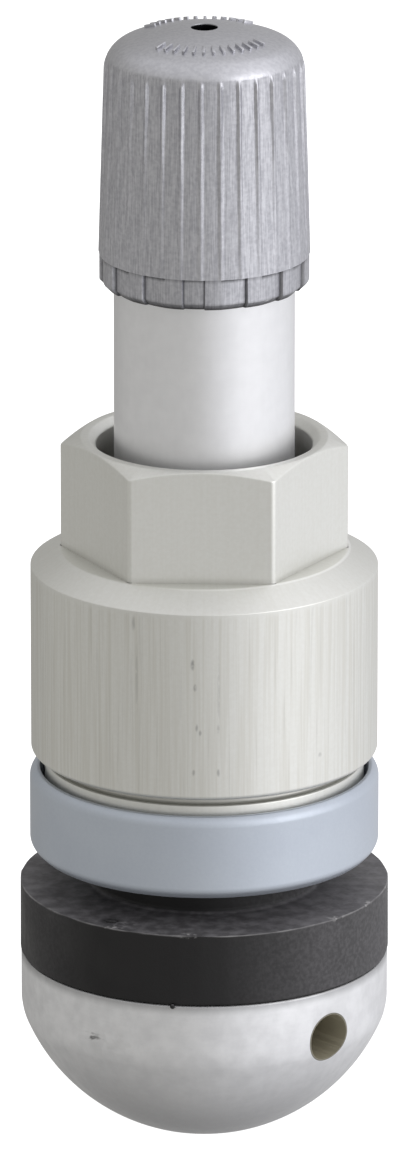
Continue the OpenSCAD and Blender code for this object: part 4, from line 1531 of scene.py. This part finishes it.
@dataclass
class Studio:
    """Pale floor, soft light from the right and a camera at the photograph's angle."""

    image_h: int = 1153
    sensor: float = 36.0
    distance: float = 600 * MM
    elevation: float = math.radians(17.6)
    pixels_per_m: float = 20900.0
    aim_z: float = 27.1 * MM
    axis_right_px: float = 4.3
    floor_size: float = 6.0
    floor_tone: Colour = (0.5, 0.5, 0.5, 1.0)
    floor_roughness: float = 0.9
    floor_glow: float = 0.95
    left_light: Colour = (0.49, 0.485, 0.467, 1.0)
    right_light: Colour = (0.93, 0.935, 0.955, 1.0)
    top_left: Colour = (0.77, 0.77, 0.775, 1.0)
    top_right: Colour = (1.18, 1.18, 1.21, 1.0)
    wall_reach: Span = (-0.25, 0.7)
    sky_reach: Span = (-0.05, 0.6)
    sky_rise: Span = (0.3, 0.95)
    behind_loss: float = 0.22
    behind_reach: Span = (0.3, 0.9)
    below_loss: float = 0.33
    below_reach: Span = (-0.45, -1.0)
    below_behind_loss: float = 0.5
    below_behind_reach: Span = (-0.2, 0.6)
    key_power: float = 0.45
    key_turn: float = math.radians(60)
    key_height: float = math.radians(20)
    key_distance: float = 420 * MM
    key_size: Span = (300 * MM, 340 * MM)

    def build(self) -> None:
        """Builds the floor, the light and the camera."""
        self.floor()
        self.world()
        self.key_lamp()
        self.camera()
        bpy.context.scene.view_settings.view_transform = "Standard"
        log.info("set up the studio")

    def floor(self) -> None:
        """Builds a white floor whose shadow stays faint."""
        bm = bmesh.new()
        bmesh.ops.create_grid(bm, x_segments=1, y_segments=1, size=self.floor_size / 2)
        mesh = bpy.data.meshes.new("floor")
        bm.to_mesh(mesh)
        bm.free()
        floor = bpy.data.objects.new("floor", mesh)
        bpy.context.scene.collection.objects.link(floor)
        material = bpy.data.materials.new("white_floor")
        material.use_nodes = True
        tree = material.node_tree
        bench = NodeBench(tree)
        shader = tree.nodes["Principled BSDF"]
        seen = bench.add("LightPath").outputs["Is Camera Ray"]
        values = {"Base Color": self.floor_tone, "Roughness": self.floor_roughness, "Emission Color": WHITE,
                  "Emission Strength": bench.times(seen, self.floor_glow)}
        for name, value in values.items():
            bench.feed(shader.inputs[name], value)
        mesh.materials.append(material)
        floor.visible_diffuse = floor.visible_glossy = False

    def world(self) -> None:
        """Builds soft light from all round, bright and cool from the right, dim and warm from the left."""
        world = bpy.data.worlds.new("studio")
        world.use_nodes = True
        bpy.context.scene.world = world
        bench = NodeBench(world.node_tree)
        back = world.node_tree.nodes["Background"]
        place = bench.add("SeparateXYZ", {"Vector": bench.add("TexCoord").outputs["Generated"]})
        across, back_way, up = (place.outputs[axis] for axis in "XYZ")
        walls = bench.blend(bench.ramp(across, *self.wall_reach), self.left_light, self.right_light)
        sky = bench.blend(bench.ramp(across, *self.sky_reach), self.top_left, self.top_right)
        room = bench.blend(bench.ramp(up, *self.sky_rise), walls, sky)
        seen = bench.add("LightPath").outputs["Is Camera Ray"]
        bench.feed(back.inputs["Color"], bench.blend(seen, room, WHITE))
        behind = bench.times(bench.ramp(back_way, *self.behind_reach), self.behind_loss)
        low_behind = bench.ramp(back_way, *self.below_behind_reach)
        low = bench.calc("MULTIPLY_ADD", low_behind, self.below_behind_loss, self.below_loss)
        below = bench.times(bench.ramp(up, *self.below_reach), low)
        level = bench.calc("SUBTRACT", bench.calc("SUBTRACT", 1.0, behind), below)
        bench.feed(back.inputs["Strength"], bench.calc("MAXIMUM", level, seen))

    @staticmethod
    def face(item: bpy.types.Object, target: Vector, away: Vector, distance: float) -> None:
        """Adds an object that looks at a place.

        Args:
            item: Lamp or camera.
            target: Place that it looks at.
            away: Direction from the place to the object.
            distance: Distance between them.
        """
        item.location = target + away * distance
        item.rotation_euler = (-away).to_track_quat("-Z", "Y").to_euler()
        bpy.context.scene.collection.objects.link(item)

    def key_lamp(self) -> None:
        """Adds a soft box to the right of the front."""
        data = bpy.data.lights.new("key", "AREA")
        data.shape, data.energy = "RECTANGLE", self.key_power
        data.size, data.size_y = self.key_size
        turn, rise = FRONT + self.key_turn, self.key_height
        away = Vector((math.cos(turn) * math.cos(rise), math.sin(turn) * math.cos(rise), math.sin(rise)))
        self.face(bpy.data.objects.new("key", data), Vector((0, 0, self.aim_z)), away, self.key_distance)

    def camera(self) -> None:
        """Adds the camera."""
        data = bpy.data.cameras.new("camera")
        data.sensor_width = self.sensor
        data.lens = self.pixels_per_m * self.distance * self.sensor / self.image_h
        camera = bpy.data.objects.new("camera", data)
        away = Vector((0, -math.cos(self.elevation), math.sin(self.elevation)))
        aim = Vector((-self.axis_right_px / self.pixels_per_m, 0, self.aim_z))
        self.face(camera, aim, away, self.distance)
        bpy.context.scene.camera = camera


def make_stem_metal() -> TurnedMetal:
    """Describes the stem's finish: scuffs on its head, painted shadow under the flange, the cross hole's
    wall.

    Returns:
        The finish.
    """
    turn = BallStem.hole_turn
    # Oily wall of the cross hole, and the painted shade round its rim
    hole = DrilledWall((0.0, 0.0, BallStem.hole_z), (math.cos(turn), math.sin(turn), 0.0), BallStem.hole_r,
                       tone(166, 160, 141), tone(104, 101, 90))
    scuffs = (
        Mark(in_mm(-5.35, -7.02, 6.25), in_mm(0.8, 0.8, 0.3), (1700.0, 1700.0, 3600.0), tone(100, 99, 99),
             strength=0.85, low=0.44, high=0.6),
        Mark(in_mm(-4.4, -7.7, 6.0), in_mm(3.4, 2.5, 1.5), (1600.0, 1600.0, 1600.0), tone(205, 205, 205),
             strength=0.2),
    )
    # Height band under the rubber flange that gets a painted shadow
    shade = (BallStem.head_h - 0.55 * MM, BallStem.head_h + 0.02 * MM)
    return TurnedMetal("satin_aluminium", tone(242, 242, 244), tone(223, 223, 225), marks=scuffs, hole=hole,
                       contact=shade)


def make_nut_metal() -> DrawnMetal:
    """Describes the finish of the nut: dark flecks down its collar and a painted highlight at the hex foot.

    Returns:
        The finish.
    """
    # Place across, height, width and length in millimetres, and strength
    spots = ((-0.55, 25.34, 0.14, 0.36, 0.6), (-0.44, 24.2, 0.12, 0.26, 0.45), (-0.36, 22.2, 0.1, 0.26, 0.4),
             (-0.2, 21.95, 0.1, 0.2, 0.4), (0.66, 22.15, 0.1, 0.3, 0.2), (-0.51, 19.97, 0.11, 0.22, 0.4),
             (0.66, 19.97, 0.11, 0.26, 0.4), (5.5, 20.2, 0.12, 0.16, 0.3), (-3.35, 27.2, 0.13, 0.5, 0.3),
             (-3.2, 24.6, 0.1, 2.4, 0.2), (0.68, 24.0, 0.1, 2.6, 0.15))
    flecks = []
    for x, z, width, length, strength in spots:
        depth = math.sqrt((CollarNut.collar_r / MM) ** 2 - x ** 2)
        flecks.append(Mark(in_mm(x, -depth, z), in_mm(width, 0.5, length), UPRIGHT_GRAIN,
                           tone(112, 112, 114), strength, low=0.28, high=0.55))
    return DrawnMetal("champagne_anodised", tone(233, 233, 229), tone(223, 222, 216), tone(140, 138, 131),
                      (CollarNut.collar_base, CollarNut.shoulder_base), marks=tuple(flecks),
                      painted_highlight_edge=(CollarNut.hex_af / math.sqrt(3) + CollarNut.hex_land, CollarNut.hex_base))


def make_grommet_rubber() -> WornRubber:
    """Describes the grommet's finish: nicks on its upper edge, painted shade and highlight at the lump.

    Returns:
        The finish.
    """
    rubber_marks = [Mark(in_mm(x, y, 11.93), in_mm(0.65, 0.65, 0.13), RUBBER_MARK_GRAIN, tone(178, 176, 176),
                  strength=0.85)
             for x, y in ((6.35, -6.2), (7.85, -4.15), (-0.8, -8.84), (-4.4, -7.7))]
    # Painted shade on the lump, and a painted highlight to its right
    rubber_marks.append(Mark(in_mm(-4.45, -6.6, 12.0), in_mm(0.75, 0.5, 0.3), RUBBER_MARK_GRAIN, tone(22, 21, 22),
                      strength=0.9, low=0.3, high=0.5))
    rubber_marks.append(Mark(in_mm(-3.75, -7.1, 12.0), in_mm(0.8, 0.6, 0.2), RUBBER_MARK_GRAIN, tone(150, 148, 150),
                      strength=0.6))
    # Its second tone is both the dust on top and the painted light on the sides
    return WornRubber("worn_rubber", tone(25, 24, 25), tone(122, 120, 123), tone(168, 166, 167),
                      (Grommet.flange_r, Grommet.flange_top), marks=tuple(rubber_marks))


def main() -> None:
    """Builds and dresses every piece, then the studio."""
    effects = Effects()
    stem_metal = make_stem_metal().build(effects)
    nut_metal = make_nut_metal().build(effects)
    ring_plastic = MouldedPlastic("cool_grey_plastic", tone(199, 206, 216),
                                  tone(193, 200, 211)).build(effects)
    # A small white fleck on the lower edge of the skirt
    white_fleck = Mark(in_mm(3.0, -3.86, 42.0), in_mm(0.3, 0.3, 0.06), LEVEL_GRAIN, tone(250, 250, 250),
                strength=0.9, low=0.2, high=0.4)
    # Its darkest tone is the painted shade on the skirt and in the gate mark
    cap_plastic = SilverPlastic("silver_plastic", tone(209, 209, 214), tone(174, 174, 180), tone(20, 20, 22),
                                marks=(white_fleck,)).build(effects)
    grommet_rubber = make_grommet_rubber().build(effects)
    seal_rubber = WornRubber("soft_seal", tone(46, 45, 45), tone(70, 69, 69), tone(84, 83, 83),
                             (3.7 * MM, 52.05 * MM)).build(effects)
    brass = TurnedMetal("turned_brass", tone(205, 176, 112), tone(180, 148, 88), metallic=1.0).build(effects)
    steel = TurnedMetal("spring_wire", tone(190, 190, 190), tone(150, 150, 150), metallic=1.0).build(effects)
    BallStem(stem_metal).build()
    Grommet(grommet_rubber).build()
    SpacerRing(ring_plastic).build()
    CollarNut(nut_metal).build()
    ScrewCap(cap_plastic).build()
    CoreSpring(steel).build()
    ValveCore(brass, seal_rubber).build()
    Studio().build()


if __name__ == "__main__":
    logging.basicConfig(level=logging.INFO, format="%(message)s")
    main()
